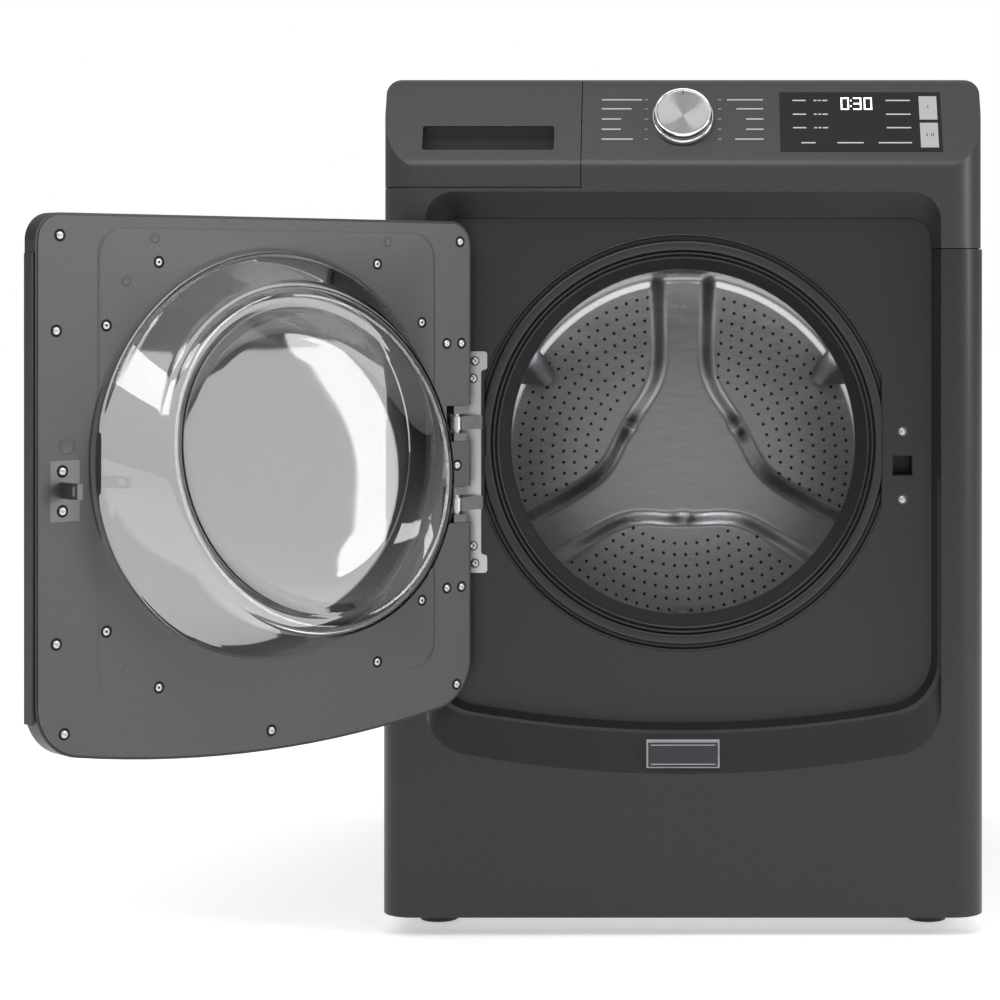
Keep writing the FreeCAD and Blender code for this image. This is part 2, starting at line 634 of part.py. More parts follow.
def dispenser_housing():
    gap, wall = "housing_gap", "housing_wall"
    front, rear = f"{FRONT} + housing_front", f"({TRAY_FRONT} + tray_length + {gap})"
    outside = box("housing_outside", (f"tray_left - {gap} - {wall}", f"tray_right + {gap} + {wall}"),
                  (front, f"{rear} + {wall}"), (f"tray_low - {gap} - {wall}", f"tray_high + 3*{gap} + {wall}"))
    inside = box("housing_inside", (f"tray_left - {gap}", f"tray_right + {gap}"), (f"{front} - 1", rear),
                 (f"tray_low - {gap}", f"tray_high + 3*{gap}"))
    keep(cut("dispenser_housing", outside, inside))


def control_unit():
    keep(box("control_unit", ("display_left + 9", "display_right + 4"), (CONSOLE_BACK, f"{CONSOLE_BACK} + 70"),
             ("fold_height + 2", f"{PANEL_TOP} - 5")))


# ---- door ------------------------------------------------------------------------------------

def door_outline(y, inset):
    return shield(y, size(DOOR_LEFT) + inset, size(DOOR_RIGHT) - inset,
                  size("recess_top - door_gap_top") - inset, size("recess_bottom + door_gap_top") + inset,
                  size("door_top_corner") - inset, size("recess_bottom_corner") - inset)


def crowned_block(inset, back):
    """The closed door from Y = back to its crowned outer face, all moved inwards by the inset."""
    left, right = size(DOOR_LEFT), size(DOOR_RIGHT)
    half, crown = (right - left) / 2, size("door_crown")
    radius = (half ** 2 + crown ** 2) / (2 * crown)
    centre = V((left + right) / 2, size(DOOR_BACK) - size("door_edge") - crown + radius, 0)
    depth = size("door_edge + door_crown + trim_proud") + 5
    slab = prism(door_outline(back, inset), V(0, -depth, 0))
    return slab.common(Part.makeCylinder(radius - inset, 2000, centre))


def arm_heights():
    return [size("hinge_height") + side * size("hinge_spread/2") for side in (-1, 1)]


def hinge_slots():
    """The two slots that the hinge arms swing in, open at the door's hinge edge."""
    half = size("arm_slot/2 + lug_thickness") + 0.5
    back = size(DOOR_BACK)
    return [block((size(DOOR_LEFT) - 10, back - size("slot_depth"), z - half),
                  (size(HINGE_X) + size("slot_reach"), back + 5, z + half)) for z in arm_heights()]


def door_disc(radius, front, back):
    z = size(BOWL_Z)
    return rod(radius, V(0, front, z), V(0, back, z))


def door_outer_panel():
    wall, back = size("door_wall"), size(DOOR_BACK) - 1
    shell = crowned_block(0, back).cut(crowned_block(wall, back + 1))
    hole = door_disc(size("window_radius"), back - 100, back + 10)
    keep(swung(shaped("door_outer_panel", shell.cut([hole] + hinge_slots()).removeSplitter())))


def door_inner_panel():
    back = size(DOOR_BACK)
    plate = prism(door_outline(back, size("door_wall") + 0.2), V(0, -size("inner_wall"), 0))
    hole = door_disc(size("bowl_radius") + 0.5, back - 20, back + 20)
    x, z = size("lock_x") - 3, size("lock_z") - 1
    half_x, half_z = size("strike_width/2"), size("strike_height/2")
    pocket = block((x - half_x, back - size("strike_wall"), z - half_z), (x + half_x, back + 5, z + half_z))
    keep(swung(shaped("door_inner_panel", plate.cut([hole, pocket] + hinge_slots()).removeSplitter())))


def door_window():
    disc = door_disc(size("window_radius") - 0.3, size(DOOR_BACK) - 100, size(DOOR_BACK))
    pane = crowned_block(0, size(DOOR_BACK) - 1).cut(crowned_block(size("window_wall"), size(DOOR_BACK)))
    keep(swung(shaped("door_window", pane.common(disc))))


def door_trim_ring():
    back = size(DOOR_BACK)
    radius = size("window_radius") + 1
    ring = door_disc(radius + size("trim_width"), back - 100, back).cut(door_disc(radius, back - 101, back + 1))
    skin = crowned_block(-size("trim_proud"), back - 1).cut(crowned_block(0, back))
    keep(swung(shaped("door_trim_ring", skin.common(ring))))


def bowl_solid(inset):
    """The bowl filled: a collar through the inner panel, then a cone to its slanted end."""
    back, z = size(DOOR_BACK), size(BOWL_Z)
    collar_end = back + size("bowl_collar")
    slant = size("bowl_slant")
    radius, rim = size("bowl_radius") - inset, size("bowl_rim_radius") - inset
    start = back - size("inner_wall") - (0.2 if not inset else 5)
    collar = door_disc(radius, start, collar_end)
    first = Part.Wire(Part.makeCircle(radius, V(0, collar_end, z), Y_DIR))
    middle = V(0, back + size("bowl_reach") - inset, z)
    last = Part.Wire(Part.makeCircle(rim, middle, Y_DIR))
    last.rotate(middle, X_DIR, slant)
    return collar.fuse(Part.makeLoft([first, last], True, True))


def door_glass_bowl():
    back = size(DOOR_BACK) - size("inner_wall")
    flange = door_disc(size("bowl_radius + bowl_flange"), back - 3.2, back - 0.2)
    bowl = bowl_solid(0).fuse(flange).cut(bowl_solid(size("bowl_wall")))
    keep(swung(shaped("door_glass_bowl", bowl)))


def door_handle():
    """The grip along the door's free edge."""
    body = new_body("door_handle")
    outline = rectangle(DOOR_RIGHT, f"{DOOR_RIGHT} + handle_proud", "handle_low", "handle_high")
    pad(body, "XZ_Plane", outline, f"-{DOOR_BACK} + 3", f"-{DOOR_BACK} + 3 + handle_depth")
    keep(swung(body))


def door_strike():
    """The strike plate and the hook that the lock catches."""
    back = DOOR_BACK
    x, z = "(lock_x - 3)", "(lock_z - 1)"
    plate = box("strike_plate", (f"{x} - strike_width/2 + 0.2", f"{x} + strike_width/2 - 0.2"),
                (f"{back} - strike_wall", back), (f"{z} - strike_height/2 + 0.2", f"{z} + strike_height/2 - 0.2"))
    shank = box("strike_shank", (f"{x} - 1", f"{x} + 5"), (back, f"{back} + hook_reach"), ("lock_z - 8", "lock_z + 8"))
    window = box("strike_eye", (f"{x} - 2", f"{x} + 6"), (f"{back} + hook_reach - 12", f"{back} + hook_reach - 5"),
                 ("lock_z - 5", "lock_z + 5"))
    keep(swung(cut("door_strike", fused("strike_whole", plate, shank), window)))


def hinge_plate():
    """The plate inside the door with the four lugs that turn on the hinge pins."""
    floor = f"({DOOR_BACK} - slot_depth)"
    plate = box("hinge_backing", (f"{HINGE_X} - 4", f"{HINGE_X} + 28"), (f"{floor} - 1.8", floor),
                ("hinge_height - 150", "hinge_height + 150"))
    lugs, bores = [], []
    for side in (-1, 1):
        for step in (-1, 1):
            near = f"(hinge_height + {side}*hinge_spread/2 + {step}*arm_slot/2)"
            far = f"({near[1:-1]} + {step}*lug_thickness)"
            low, high = (near, far) if step > 0 else (far, near)
            lugs.append(box("hinge_lug", (f"{HINGE_X} - 9", f"{HINGE_X} + 9"), (floor, f"{HINGE_Y} + pivot_depth - 0.3"),
                            (low, high)))
            bores.append(cylinder("pin_bore", Z_DIR, "pin_radius + shaft_fit", (HINGE_X, HINGE_Y),
                                  f"{low} - 1", f"{high} + 1"))
    keep(swung(cut("hinge_plate", fused("hinge_plate_whole", plate, *lugs), *bores)))


def door_screw_spots():
    """Centres (X, Z) of the screws in the inner panel, paired about the bowl and the edges."""
    z = size(BOWL_Z)
    spots = [(sx * dx, z + sz * dz) for dx, dz in ((140, 217), (202, 154)) for sx in (-1, 1) for sz in (-1, 1)]
    left, right = size(DOOR_LEFT) + 16, size(DOOR_RIGHT) - 27
    spots += [(x, top) for x in (left, right) for top in (size("recess_top") - 28, size("recess_bottom") + 50)]
    spots += [(right, z + dz) for dz in (-160, 160)]
    spots += [(0, size("recess_bottom") + 26)]
    spots += [(size("lock_x"), size("lock_z") - 1 + dz) for dz in (-20, 20)]
    spots += [(size(HINGE_X) + dx, size("hinge_height") + dz) for dx in (-1.5, 19.5) for dz in (-138, 138)]
    return spots


def door_screws():
    back = size(DOOR_BACK)
    heads = [rod(size("screw_radius"), V(x, back, z), V(x, back + size("screw_head"), z))
             for x, z in door_screw_spots()]
    keep(swung(shaped("door_screws", Part.makeCompound(heads))))


def hinge_bracket():
    """The fixed leaf, screwed to the seat of the recess."""
    right = f"({HINGE_X} + 26)"
    y = (f"{SEAT} - bracket_wall", SEAT)
    low, high = "(hinge_height - bracket_height/2)", "(hinge_height + bracket_height/2)"
    leaf = box("bracket_leaf", (f"{right} - bracket_width", right), y, (low, high))
    ears = [box("bracket_ear", (f"{right} - 1", f"{right} + ear_width"), y, span)
            for span in ((low, f"{low} + ear_height"), (f"{high} - ear_height", high))]
    whole = fused("bracket_whole", leaf, *ears)
    doc.recompute()
    rounded = doc.addObject("Part::Fillet", "hinge_bracket")
    rounded.Base = whole
    edge, radius, wall = size(right), size("ear_radius"), size("bracket_wall")
    rounded.Edges = [(i, radius, radius) for i, line in enumerate(whole.Shape.Edges, 1)
                     if abs(line.BoundBox.YLength - wall) < 0.01 and line.CenterOfMass.x > edge - 0.01]
    keep(rounded)


def hinge_arms():
    """Two arms from the bracket out to the pins, and the pins."""
    pivot_x, pivot_y = size(HINGE_X), size(HINGE_Y)
    half, face = size("arm_half_width"), size(SEAT) - size("bracket_wall")
    pieces = []
    for z in arm_heights():
        low, high = z - size("arm_height/2"), z + size("arm_height/2")
        bar = block((0, -half, low), (80, half, high))
        bar.Placement = FreeCAD.Placement(V(pivot_x, pivot_y, 0), FreeCAD.Rotation(Z_DIR, size("arm_angle")))
        bar = bar.common(block((-400, -500, 0), (400, face, 2000)))
        eye = rod(size("eye_radius"), V(pivot_x, pivot_y, low), V(pivot_x, pivot_y, high))
        reach = size("pin_length/2")
        pin = rod(size("pin_radius"), V(pivot_x, pivot_y, z - reach), V(pivot_x, pivot_y, z + reach))
        pieces.append(bar.fuse([eye, pin]))
    keep(shaped("hinge_arms", Part.makeCompound(pieces)))


def door_lock():
    """The lock behind the seat, with the pocket that takes the strike's hook."""
    rear = f"{SEAT} + front_wall + lock_depth"
    outside = box("lock_case", ("lock_x - 19", "lock_x + 19"), (f"{SEAT} + front_wall", rear), ("lock_z - 45", "lock_z + 45"))
    pocket = box("lock_pocket", ("lock_x - lock_slot/2 + 1", "lock_x + lock_slot/2 - 1"),
                 (SEAT, f"{rear} - 15"), ("lock_z - lock_slot/2 + 1", "lock_z + lock_slot/2 - 1"))
    keep(cut("door_lock", outside, pocket))


def front_screws():
    """The lock's two screws and the bracket's four."""
    seat = size(SEAT)
    leaf = seat - size("bracket_wall")
    right = size(HINGE_X) + 26
    spots = [(size("lock_x"), size("lock_z") + dz, seat) for dz in (-39, 39)]
    for side in (-1, 1):
        for dx, inset in ((-7, 10), (-9, 30)):
            spots.append((right + dx, size("hinge_height") + side * (size("bracket_height/2") - inset), leaf))
    heads = [rod(size("screw_radius"), V(x, y - size("screw_head"), z), V(x, y, z)) for x, z, y in spots]
    keep(shaped("front_screws", Part.makeCompound(heads)))


# ---- tub, drum and drive -----------------------------------------------------------------------

def bellows():
    """The rubber gasket: a flange in the mouth, a sealing lip and a sleeve back to the tub."""
    profile = (("-4", "mouth_radius - 26"), ("-4", "mouth_radius - 0.3"), ("6", "mouth_radius - 0.3"),
               ("6", "mouth_flat - 2"), ("95", "mouth_flat - 2"), ("95", "mouth_flat - 6.5"),
               ("10", "mouth_flat - 6.5"), ("26", "mouth_flat - 24"), ("26", "mouth_flat - 29"),
               ("17", "mouth_flat - 29"), ("-1", "mouth_flat - 17"))
    sleeve = turned("bellows_turned", profile)
    bind(sleeve, "Placement.Base.y", SEAT)
    bind(sleeve, "Placement.Base.z", "mouth_height")
    flats = box("bellows_flats", ("0.3 - mouth_flat", "mouth_flat - 0.3"), (FRONT, "0"), ("0", "cabinet_height"))
    behind = new_body("tub_face")
    pad(behind, "XZ_Plane", rectangle("-400", "400", "-400", "400"), "-400", "5.5 - tub_front_at")
    on_axis(behind)
    keep(cut("bellows", common("bellows_trimmed", sleeve, flats), behind))


def tub_front():
    outer, inner = "tub_radius", "tub_radius - tub_wall"
    face, joint = "tub_front_at", "tub_joint_at"
    rim = f"{outer} + tub_flange"
    keep(on_axis(turned("tub_front", ((face, "tub_mouth"), (face, outer), (f"{joint} - 8", outer),
                                      (f"{joint} - 8", rim), (joint, rim), (joint, inner),
                                      (f"{face} + tub_wall", inner), (f"{face} + tub_wall", "tub_mouth")))))


def tub_rear():
    """The rear half, with its bearing hub and the two lugs that the springs hook into."""
    outer, inner = "tub_radius", "tub_radius - tub_wall"
    joint, rear = "tub_joint_at + 0.2", "tub_rear_at"
    rim, end = f"{outer} + tub_flange", "tub_rear_at + hub_length"
    shell = on_axis(turned("tub_rear_shell", (
        (joint, inner), (joint, rim), (f"{joint} + 8", rim), (f"{joint} + 8", outer), (rear, outer),
        (rear, "hub_radius"), (end, "hub_radius"), (end, "bearing_radius"), (f"{rear} + 2", "bearing_radius"),
        (f"{rear} + 2", "seal_radius"), (f"{rear} - tub_wall", "seal_radius"), (f"{rear} - tub_wall", inner))))
    lugs = [box("spring_lug", (f"{side}*spring_x - 8", f"{side}*spring_x + 8"), ("spring_y - 8", "spring_y + 8"),
                ("mouth_height + 120", "lug_top")) for side in (-1, 1)]
    hollow = on_axis(turned("tub_hollow", ((joint, "0"), (joint, f"{inner} + 1"), (f"{rear} - 20", f"{inner} + 1"),
                                           (f"{rear} - 20", "0"))))
    keep(fused("tub_rear", shell, cut("lugs_trimmed", fused("lugs_whole", *lugs), hollow)))


def counterweights():
    """Two concrete blocks bolted to the tub's front face, above and below the mouth."""
    sectors = []
    for middle in (90, -90):
        sector = cylinder("weight_sector", Y_DIR, "tub_radius - 2", ("0", "0"),
                          "tub_front_at - 0.2 - weight_depth", "tub_front_at - 0.2")
        bind(sector, "Angle", "weight_angle")
        start = FreeCAD.Rotation(Y_DIR, -(middle - size("weight_angle") / 2))
        sector.Placement = FreeCAD.Placement(V(), start * FreeCAD.Rotation(X_DIR, 90))
        bind(sector, "Placement.Base.y", "tub_front_at - 0.2")
        sectors.append(sector)
    inner = cylinder("weight_inner_tool", Y_DIR, "weight_inner", ("0", "0"), "0", "tub_front_at + 5")
    keep(on_axis(cut("counterweights", fused("weight_sectors", *sectors), inner)))


def drum_bearings():
    first, last = "tub_rear_at + 4", "tub_rear_at + hub_length - 2"
    rings = []
    for start, end in ((first, f"{first} + 16"), (f"{last} - 16", last)):
        ring = cylinder("bearing_ring", Y_DIR, "bearing_radius", ("0", "0"), start, end)
        bore = cylinder("bearing_bore", Y_DIR, "shaft_radius + shaft_fit", ("0", "0"), f"{start} - 1", f"{end} + 1")
        rings.append(cut("bearing", ring, bore))
    keep(on_axis(fused("drum_bearings", *rings)))


MOTOR_END = "(pulley_at - 16)"


def drive_motor():
    """The motor under the tub, with the lug that hangs it from the tub."""
    case = cylinder("motor_case", Y_DIR, "motor_radius", ("0", "-motor_drop"), f"{MOTOR_END} - motor_length", MOTOR_END)
    lug = box("motor_lug", ("-30", "30"), (f"{MOTOR_END} - motor_length + 20", "tub_rear_at - 10"),
              ("-motor_drop + motor_radius - 10", "-tub_radius + 20"))
    tub = cylinder("motor_clearance", Y_DIR, "tub_radius + 0.1", ("0", "0"), "0", "tub_rear_at + 50")
    keep(on_axis(cut("drive_motor", fused("motor_whole", case, lug), tub)))


def heating_element():
    """A loop of heater rod lying in the sump, under the drum."""
    rods = [cylinder("heater_rod", Y_DIR, "heater_radius", (x, "-heater_at"), "tub_front_at + 150",
                     "tub_rear_at - tub_wall") for x in ("-18", "18")]
    bend = cylinder("heater_bend", X_DIR, "heater_radius", ("tub_front_at + 150", "-heater_at"), "-18", "18")
    keep(on_axis(fused("heating_element", *rods, bend)))


def drum_basket():
    outer, inner = "drum_radius", "drum_radius - drum_wall"
    front, rear = "drum_front_at", "drum_rear_at"
    keep(on_axis(turned("drum_basket", ((front, "drum_mouth"), (front, outer), (rear, outer), (rear, inner),
                                        (f"{front} + drum_wall", inner), (f"{front} + drum_wall", "drum_mouth")))))


def three_arms(name, half_width, inner, outer, low, high):
    """Three radial bars at 90, 210 and 330 degrees round the axis."""
    arms = []
    for angle in (90, 210, 330):
        arm = box(f"{name}_arm", (inner, outer), (low, high), (f"-{half_width}", half_width))
        turn = FreeCAD.Rotation(Y_DIR, -angle)
        offset = turn.multVec(V(size(inner), size(low), -size(half_width)))
        arm.setExpression("Placement.Base.x", None)
        arm.setExpression("Placement.Base.y", None)
        arm.setExpression("Placement.Base.z", None)
        arm.Placement = FreeCAD.Placement(offset, turn)
        arms.append(arm)
    return arms


def drum_rear_wall():
    """The drum's back with its embossed three-armed star."""
    rear = "drum_rear_at"
    disc = cylinder("rear_disc", Y_DIR, "drum_radius", ("0", "0"), rear, f"{rear} + rear_wall")
    hub = cylinder("star_hub_disc", Y_DIR, "star_hub", ("0", "0"), f"{rear} - star_height", f"{rear} + rear_wall/2")
    arms = three_arms("star", "star_half_width", "star_hub/2", "star_reach", f"{rear} - star_height", f"{rear} + rear_wall/2")
    keep(on_axis(fused("drum_rear_wall", disc, hub, *arms)))


def baffles():
    """Three lifters along the drum's inside."""
    front, rear = size("drum_front_at") + 18, size("drum_rear_at - star_height") - 8
    half, apex, outer = size("baffle_half_width"), size("baffle_apex"), size("drum_radius - drum_wall") - 0.1
    wire = rounded_wire((V(outer + 10, front, -half), 0), (V(outer - 8, front, -half), 6),
                        (V(apex, front, -6), 5), (V(apex, front, 6), 5), (V(outer - 8, front, half), 6),
                        (V(outer + 10, front, half), 0))
    lifter = prism(wire, V(0, rear - front, 0)).common(rod(outer, V(0, front - 1, 0), V(0, rear + 1, 0)))
    for number, angle in enumerate((30, 150, 270), 1):
        turn = FreeCAD.Placement(V(), FreeCAD.Rotation(Y_DIR, -angle))
        keep(on_axis(shaped(f"baffle_{number}", lifter.transformGeometry(turn.toMatrix()))))


def drum_spider():
    """The three-armed casting behind the drum, with the shaft that turns in the bearings."""
    start, end = "drum_rear_at + rear_wall", "tub_rear_at - tub_wall - 2"
    hub = cylinder("spider_hub", Y_DIR, "40", ("0", "0"), start, end)
    shaft = cylinder("drum_shaft", Y_DIR, "shaft_radius", ("0", "0"), start, "pulley_at + pulley_width + 4")
    arms = three_arms("spider", "20", "20", "drum_radius - 12", start, f"{end} - 5")
    keep(on_axis(fused("drum_spider", hub, shaft, *arms)))


def drum_pulley():
    """The large belt pulley: rim, web with five openings and hub."""
    start, end = "pulley_at", "(pulley_at + pulley_width)"
    web = (f"{start} + 5", f"{end} - 5")
    wheel = turned("pulley_wheel", ((start, "shaft_radius"), (start, "30"), (web[0], "30"),
                                    (web[0], "pulley_radius - 10"), (start, "pulley_radius - 10"),
                                    (start, "pulley_radius"), (end, "pulley_radius"), (end, "pulley_radius - 10"),
                                    (web[1], "pulley_radius - 10"), (web[1], "30"), (end, "30"),
                                    (end, "shaft_radius")))
    holes = [cylinder("pulley_opening", Y_DIR, "0.19*pulley_radius",
                      (f"0.58*pulley_radius*cos({angle})", f"0.58*pulley_radius*sin({angle})"),
                      f"{start} - 5", f"{end} + 5") for angle in range(18, 378, 72)]
    keep(on_axis(cut("drum_pulley", wheel, *holes)))


def motor_pulley():
    start = f"{MOTOR_END} + 0.3"
    radius = "motor_pulley_radius"
    keep(on_axis_at_motor(turned("motor_pulley", ((start, "0"), (start, "6"), ("pulley_at + 1", "6"),
                                                  ("pulley_at + 1", radius), ("pulley_at + pulley_width - 1", radius),
                                                  ("pulley_at + pulley_width - 1", "0")))))


def on_axis_at_motor(thing):
    """As on_axis, but lowered onto the motor's own axis."""
    on_axis(thing)
    bind(thing, "Placement.Base.y", "axis_front - cabinet_depth/2 - motor_drop*sin(tub_tilt)")
    bind(thing, "Placement.Base.z", "mouth_height - axis_drop - motor_drop*cos(tub_tilt)")
    return thing


def belt_loop(grown, start, end):
    """The area inside the belt: two discs and the straight runs that touch both."""
    big, small = size("pulley_radius") + grown, size("motor_pulley_radius") + grown
    drop = size("motor_drop")
    lean = math.asin((big - small) / drop)
    far = V(0, start, -drop)

    def spot(centre, radius, side):
        return centre + V(side * radius * math.cos(lean), 0, -radius * math.sin(lean))

    runs = Part.makePolygon([spot(V(0, start, 0), big, -1), spot(far, small, -1), spot(far, small, 1),
                             spot(V(0, start, 0), big, 1), spot(V(0, start, 0), big, -1)])
    length = V(0, end - start, 0)
    discs = [rod(radius, centre, centre + length) for radius, centre in ((big, V(0, start, 0)), (small, far))]
    return prism(runs, length).fuse(discs)


def drive_belt():
    start, end = size("pulley_at") + 3, size("pulley_at + pulley_width") - 3
    inner = size("belt_gap")
    loop = belt_loop(inner + size("belt_wall"), start, end).cut(belt_loop(inner, start - 1, end + 1))
    keep(on_axis(shaped("drive_belt", loop)))


def damper_cylinders():
    """The dampers' upper halves, which ride on the tub."""
    tub = on_axis(cylinder_on_axis("damper_clearance", "tub_radius + 0.1"))
    tubes = []
    for side in (-1, 1):
        spot = (f"{side}*damper_x", "damper_y")
        outer = cylinder("damper_tube", Z_DIR, "damper_radius", spot, "damper_bottom", "mouth_height - 200")
        bore = cylinder("damper_bore", Z_DIR, "damper_rod_radius + 0.5", spot, "damper_bottom - 1",
                        "rod_top + 2*tub_travel")
        tubes.append(cut("damper_drilled", outer, bore))
    keep(cut("damper_cylinders", fused("damper_tubes", *tubes), tub))


def cylinder_on_axis(name, radius):
    return turned(name, (("-50", "0"), ("-50", radius), ("900", radius), ("900", "0")))


def damper_rods():
    """The dampers' lower rods, standing on the base frame."""
    rods = []
    for side in (-1, 1):
        spot = (f"{side}*damper_x", "damper_y")
        floor = "foot_height + base_wall"
        rods.append(cylinder("damper_foot", Z_DIR, "18", spot, floor, f"{floor} + 8"))
        rods.append(cylinder("damper_rod", Z_DIR, "damper_rod_radius", spot, floor, "rod_top"))
    keep(fused("damper_rods", *rods))


def top_rail():
    """The cross rail under the worktop that the springs hang from."""
    half = f"({SIDE} - flange_width - 1)"
    outside = box("rail_outside", (f"-{half}", half), ("spring_y - 14", "spring_y + 14"),
                  (f"{PANEL_TOP} - 2 - rail_height", f"{PANEL_TOP} - 2"))
    inside = box("rail_inside", (f"-{half} - 1", f"{half} + 1"), ("spring_y - 12", "spring_y + 12"),
                 (f"{PANEL_TOP} - rail_height", f"{PANEL_TOP} + 1"))
    keep(cut("top_rail", outside, inside))


def suspension_springs():
    """The two springs as plain tubes of the coils' size."""
    tubes = []
    for side in (-1, 1):
        spot = (f"{side}*spring_x", "spring_y")
        span = ("lug_top", f"{PANEL_TOP} - 2 - rail_height")
        outer = cylinder("spring_outer", Z_DIR, "spring_radius", spot, *span)
        inner = cylinder("spring_inner", Z_DIR, "spring_radius - 4", spot, f"{span[0]} - 1", f"{span[1]} + 1")
        tubes.append(cut("spring_tube", outer, inner))
    keep(fused("suspension_springs", *tubes))


# ---- water and power fittings --------------------------------------------------------------------

def inlet_valves():
    """The twin inlet valve, its two threaded ports standing out of the rear panel."""
    body = box("valve_body", ("valve_x - valve_pitch/2 - 20", "valve_x + valve_pitch/2 + 20"),
               (f"{REAR} - 60", f"{REAR} - sheet_wall - 4"), ("valve_z - 20", "valve_z + 25"))
    ports = [cylinder("valve_port", Y_DIR, "valve_radius", (f"valve_x + {side}*valve_pitch/2", "valve_z"),
                      f"{REAR} - 20", f"{REAR} + port_reach") for side in (-1, 1)]
    keep(fused("inlet_valves", body, *ports))


def drain_outlet():
    """The drain hose's spigot in the rear panel."""
    spot = ("drain_x", "valve_z")
    whole = fused("drain_whole", cylinder("drain_tube", Y_DIR, "drain_radius", spot, f"{REAR} - 30", f"{REAR} + port_reach"),
                  cylinder("drain_collar", Y_DIR, "drain_radius + 6", spot, REAR, f"{REAR} + 3"))
    keep(cut("drain_outlet", whole, cylinder("drain_bore", Y_DIR, "drain_radius - 3", spot,
                                             f"{REAR} - 31", f"{REAR} + port_reach + 1")))


def power_gland():
    spot = ("gland_x", "valve_z")
    whole = fused("gland_whole", cylinder("gland_neck", Y_DIR, "gland_radius", spot, f"{REAR} - 12", f"{REAR} + 8"),
                  cylinder("gland_collar", Y_DIR, "gland_radius + 5", spot, REAR, f"{REAR} + 3"))
    keep(cut("power_gland", whole, cylinder("gland_bore", Y_DIR, "gland_radius - 4", spot,
                                            f"{REAR} - 13", f"{REAR} + 9")))


PUMP_X, PUMP_Y = "200", "(-cabinet_depth/2 + 186)"


def drain_pump():
    floor = "foot_height + base_wall"
    case = box("pump_case", (f"{PUMP_X} - 50", f"{PUMP_X} + 50"), (f"{PUMP_Y} - 60", f"{PUMP_Y} + 60"),
               (floor, f"{floor} + 60"))
    neck = cylinder("pump_neck", Z_DIR, "26", (f"{PUMP_X} - 20", PUMP_Y), floor, f"{floor} + 86")
    keep(fused("drain_pump", case, neck))


def sump_hose():
    spot = (f"{PUMP_X} - 20", PUMP_Y)
    start = "foot_height + base_wall + 86"
    outer = cylinder("hose_outer", Z_DIR, "24", spot, start, "mouth_height - tub_radius + 15")
    inner = cylinder("hose_inner", Z_DIR, "20", spot, f"{start} - 1", "mouth_height - tub_radius + 16")
    keep(cut("sump_hose", outer, inner))


# ---- the machine ----------------------------------------------------------------------------------

side_panel("side_panel_left", -1)
side_panel("side_panel_right", 1)
rear_panel()
rear_access_cover()
top_panel()
front_panel()
base_frame()
levelling_feet()
badge_plate()
control_console()
display_panel()
push_button("power_button", "power_low", "power_high")
push_button("start_button", "start_low", "start_high")
knob()
drawer_front()
drawer_tray()
dispenser_housing()
control_unit()
door_outer_panel()
door_inner_panel()
door_window()
door_trim_ring()
door_glass_bowl()
door_handle()
door_strike()
hinge_plate()
door_screws()
hinge_bracket()
hinge_arms()
door_lock()
front_screws()
bellows()
tub_front()
tub_rear()
counterweights()
drum_bearings()
drive_motor()
heating_element()
drum_basket()
drum_rear_wall()
baffles()
drum_spider()
drum_pulley()
motor_pulley()
drive_belt()
damper_cylinders()
damper_rods()
top_rail()
suspension_springs()
inlet_valves()
drain_outlet()
power_gland()
drain_pump()
sump_hose()
doc.recompute()

faults = [f"{thing.Label}: {thing.State}" for thing in doc.Objects
          if "Invalid" in thing.State or "Error" in thing.State]
faults += [f"{thing.Label}: no valid shape" for thing in parts
           if thing.Shape.isNull() or not thing.Shape.isValid() or not thing.Shape.Solids]
if faults:
    raise RuntimeError("; ".join(faults))

os.makedirs("parts", exist_ok=True)
for thing in parts:
    thing.Shape.exportStep(f"parts/{thing.Label}.step")
    bounds = thing.Shape.BoundBox
    print(f"{thing.Label:22s} {len(thing.Shape.Solids)} solid(s) {thing.Shape.Volume:12.0f} mm3  "
          f"X {bounds.XMin:7.1f} {bounds.XMax:7.1f}  Y {bounds.YMin:7.1f} {bounds.YMax:7.1f}  "
          f"Z {bounds.ZMin:7.1f} {bounds.ZMax:7.1f}")
print(len(parts), "sub-parts")
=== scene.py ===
import math

import bmesh
import bpy
from mathutils import Matrix, Vector
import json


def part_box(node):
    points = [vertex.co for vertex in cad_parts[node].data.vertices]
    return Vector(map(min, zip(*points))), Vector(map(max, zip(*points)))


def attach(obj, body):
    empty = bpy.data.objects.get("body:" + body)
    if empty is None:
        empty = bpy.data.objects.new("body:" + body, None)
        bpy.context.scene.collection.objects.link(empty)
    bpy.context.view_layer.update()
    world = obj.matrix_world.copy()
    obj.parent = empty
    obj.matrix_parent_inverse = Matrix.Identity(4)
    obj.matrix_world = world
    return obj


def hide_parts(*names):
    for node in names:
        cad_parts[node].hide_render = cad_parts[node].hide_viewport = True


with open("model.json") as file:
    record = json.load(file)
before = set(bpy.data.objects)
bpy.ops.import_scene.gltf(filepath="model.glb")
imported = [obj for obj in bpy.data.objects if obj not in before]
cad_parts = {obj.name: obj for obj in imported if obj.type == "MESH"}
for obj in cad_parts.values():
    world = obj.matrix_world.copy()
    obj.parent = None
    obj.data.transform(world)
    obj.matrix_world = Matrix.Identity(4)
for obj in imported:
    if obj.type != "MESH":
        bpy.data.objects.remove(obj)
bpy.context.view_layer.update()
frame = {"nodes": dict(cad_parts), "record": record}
MM = 0.001
JOINTS = {joint["name"]: joint for joint in frame["record"]["behaviour"]["joints"]}


# ---- the frame's own places -----------------------------------------------------------------

def slope_frame():
    """The knob's centre on the console's sloped face, with +Z up the slope and +Y into it."""
    knob = JOINTS["knob_turn"]
    outward = Vector(knob["axis"])
    tilt = math.atan2(outward.z, -outward.y)
    return Matrix.Translation(knob["pos_m"]) @ Matrix.Rotation(-tilt, 4, "X")


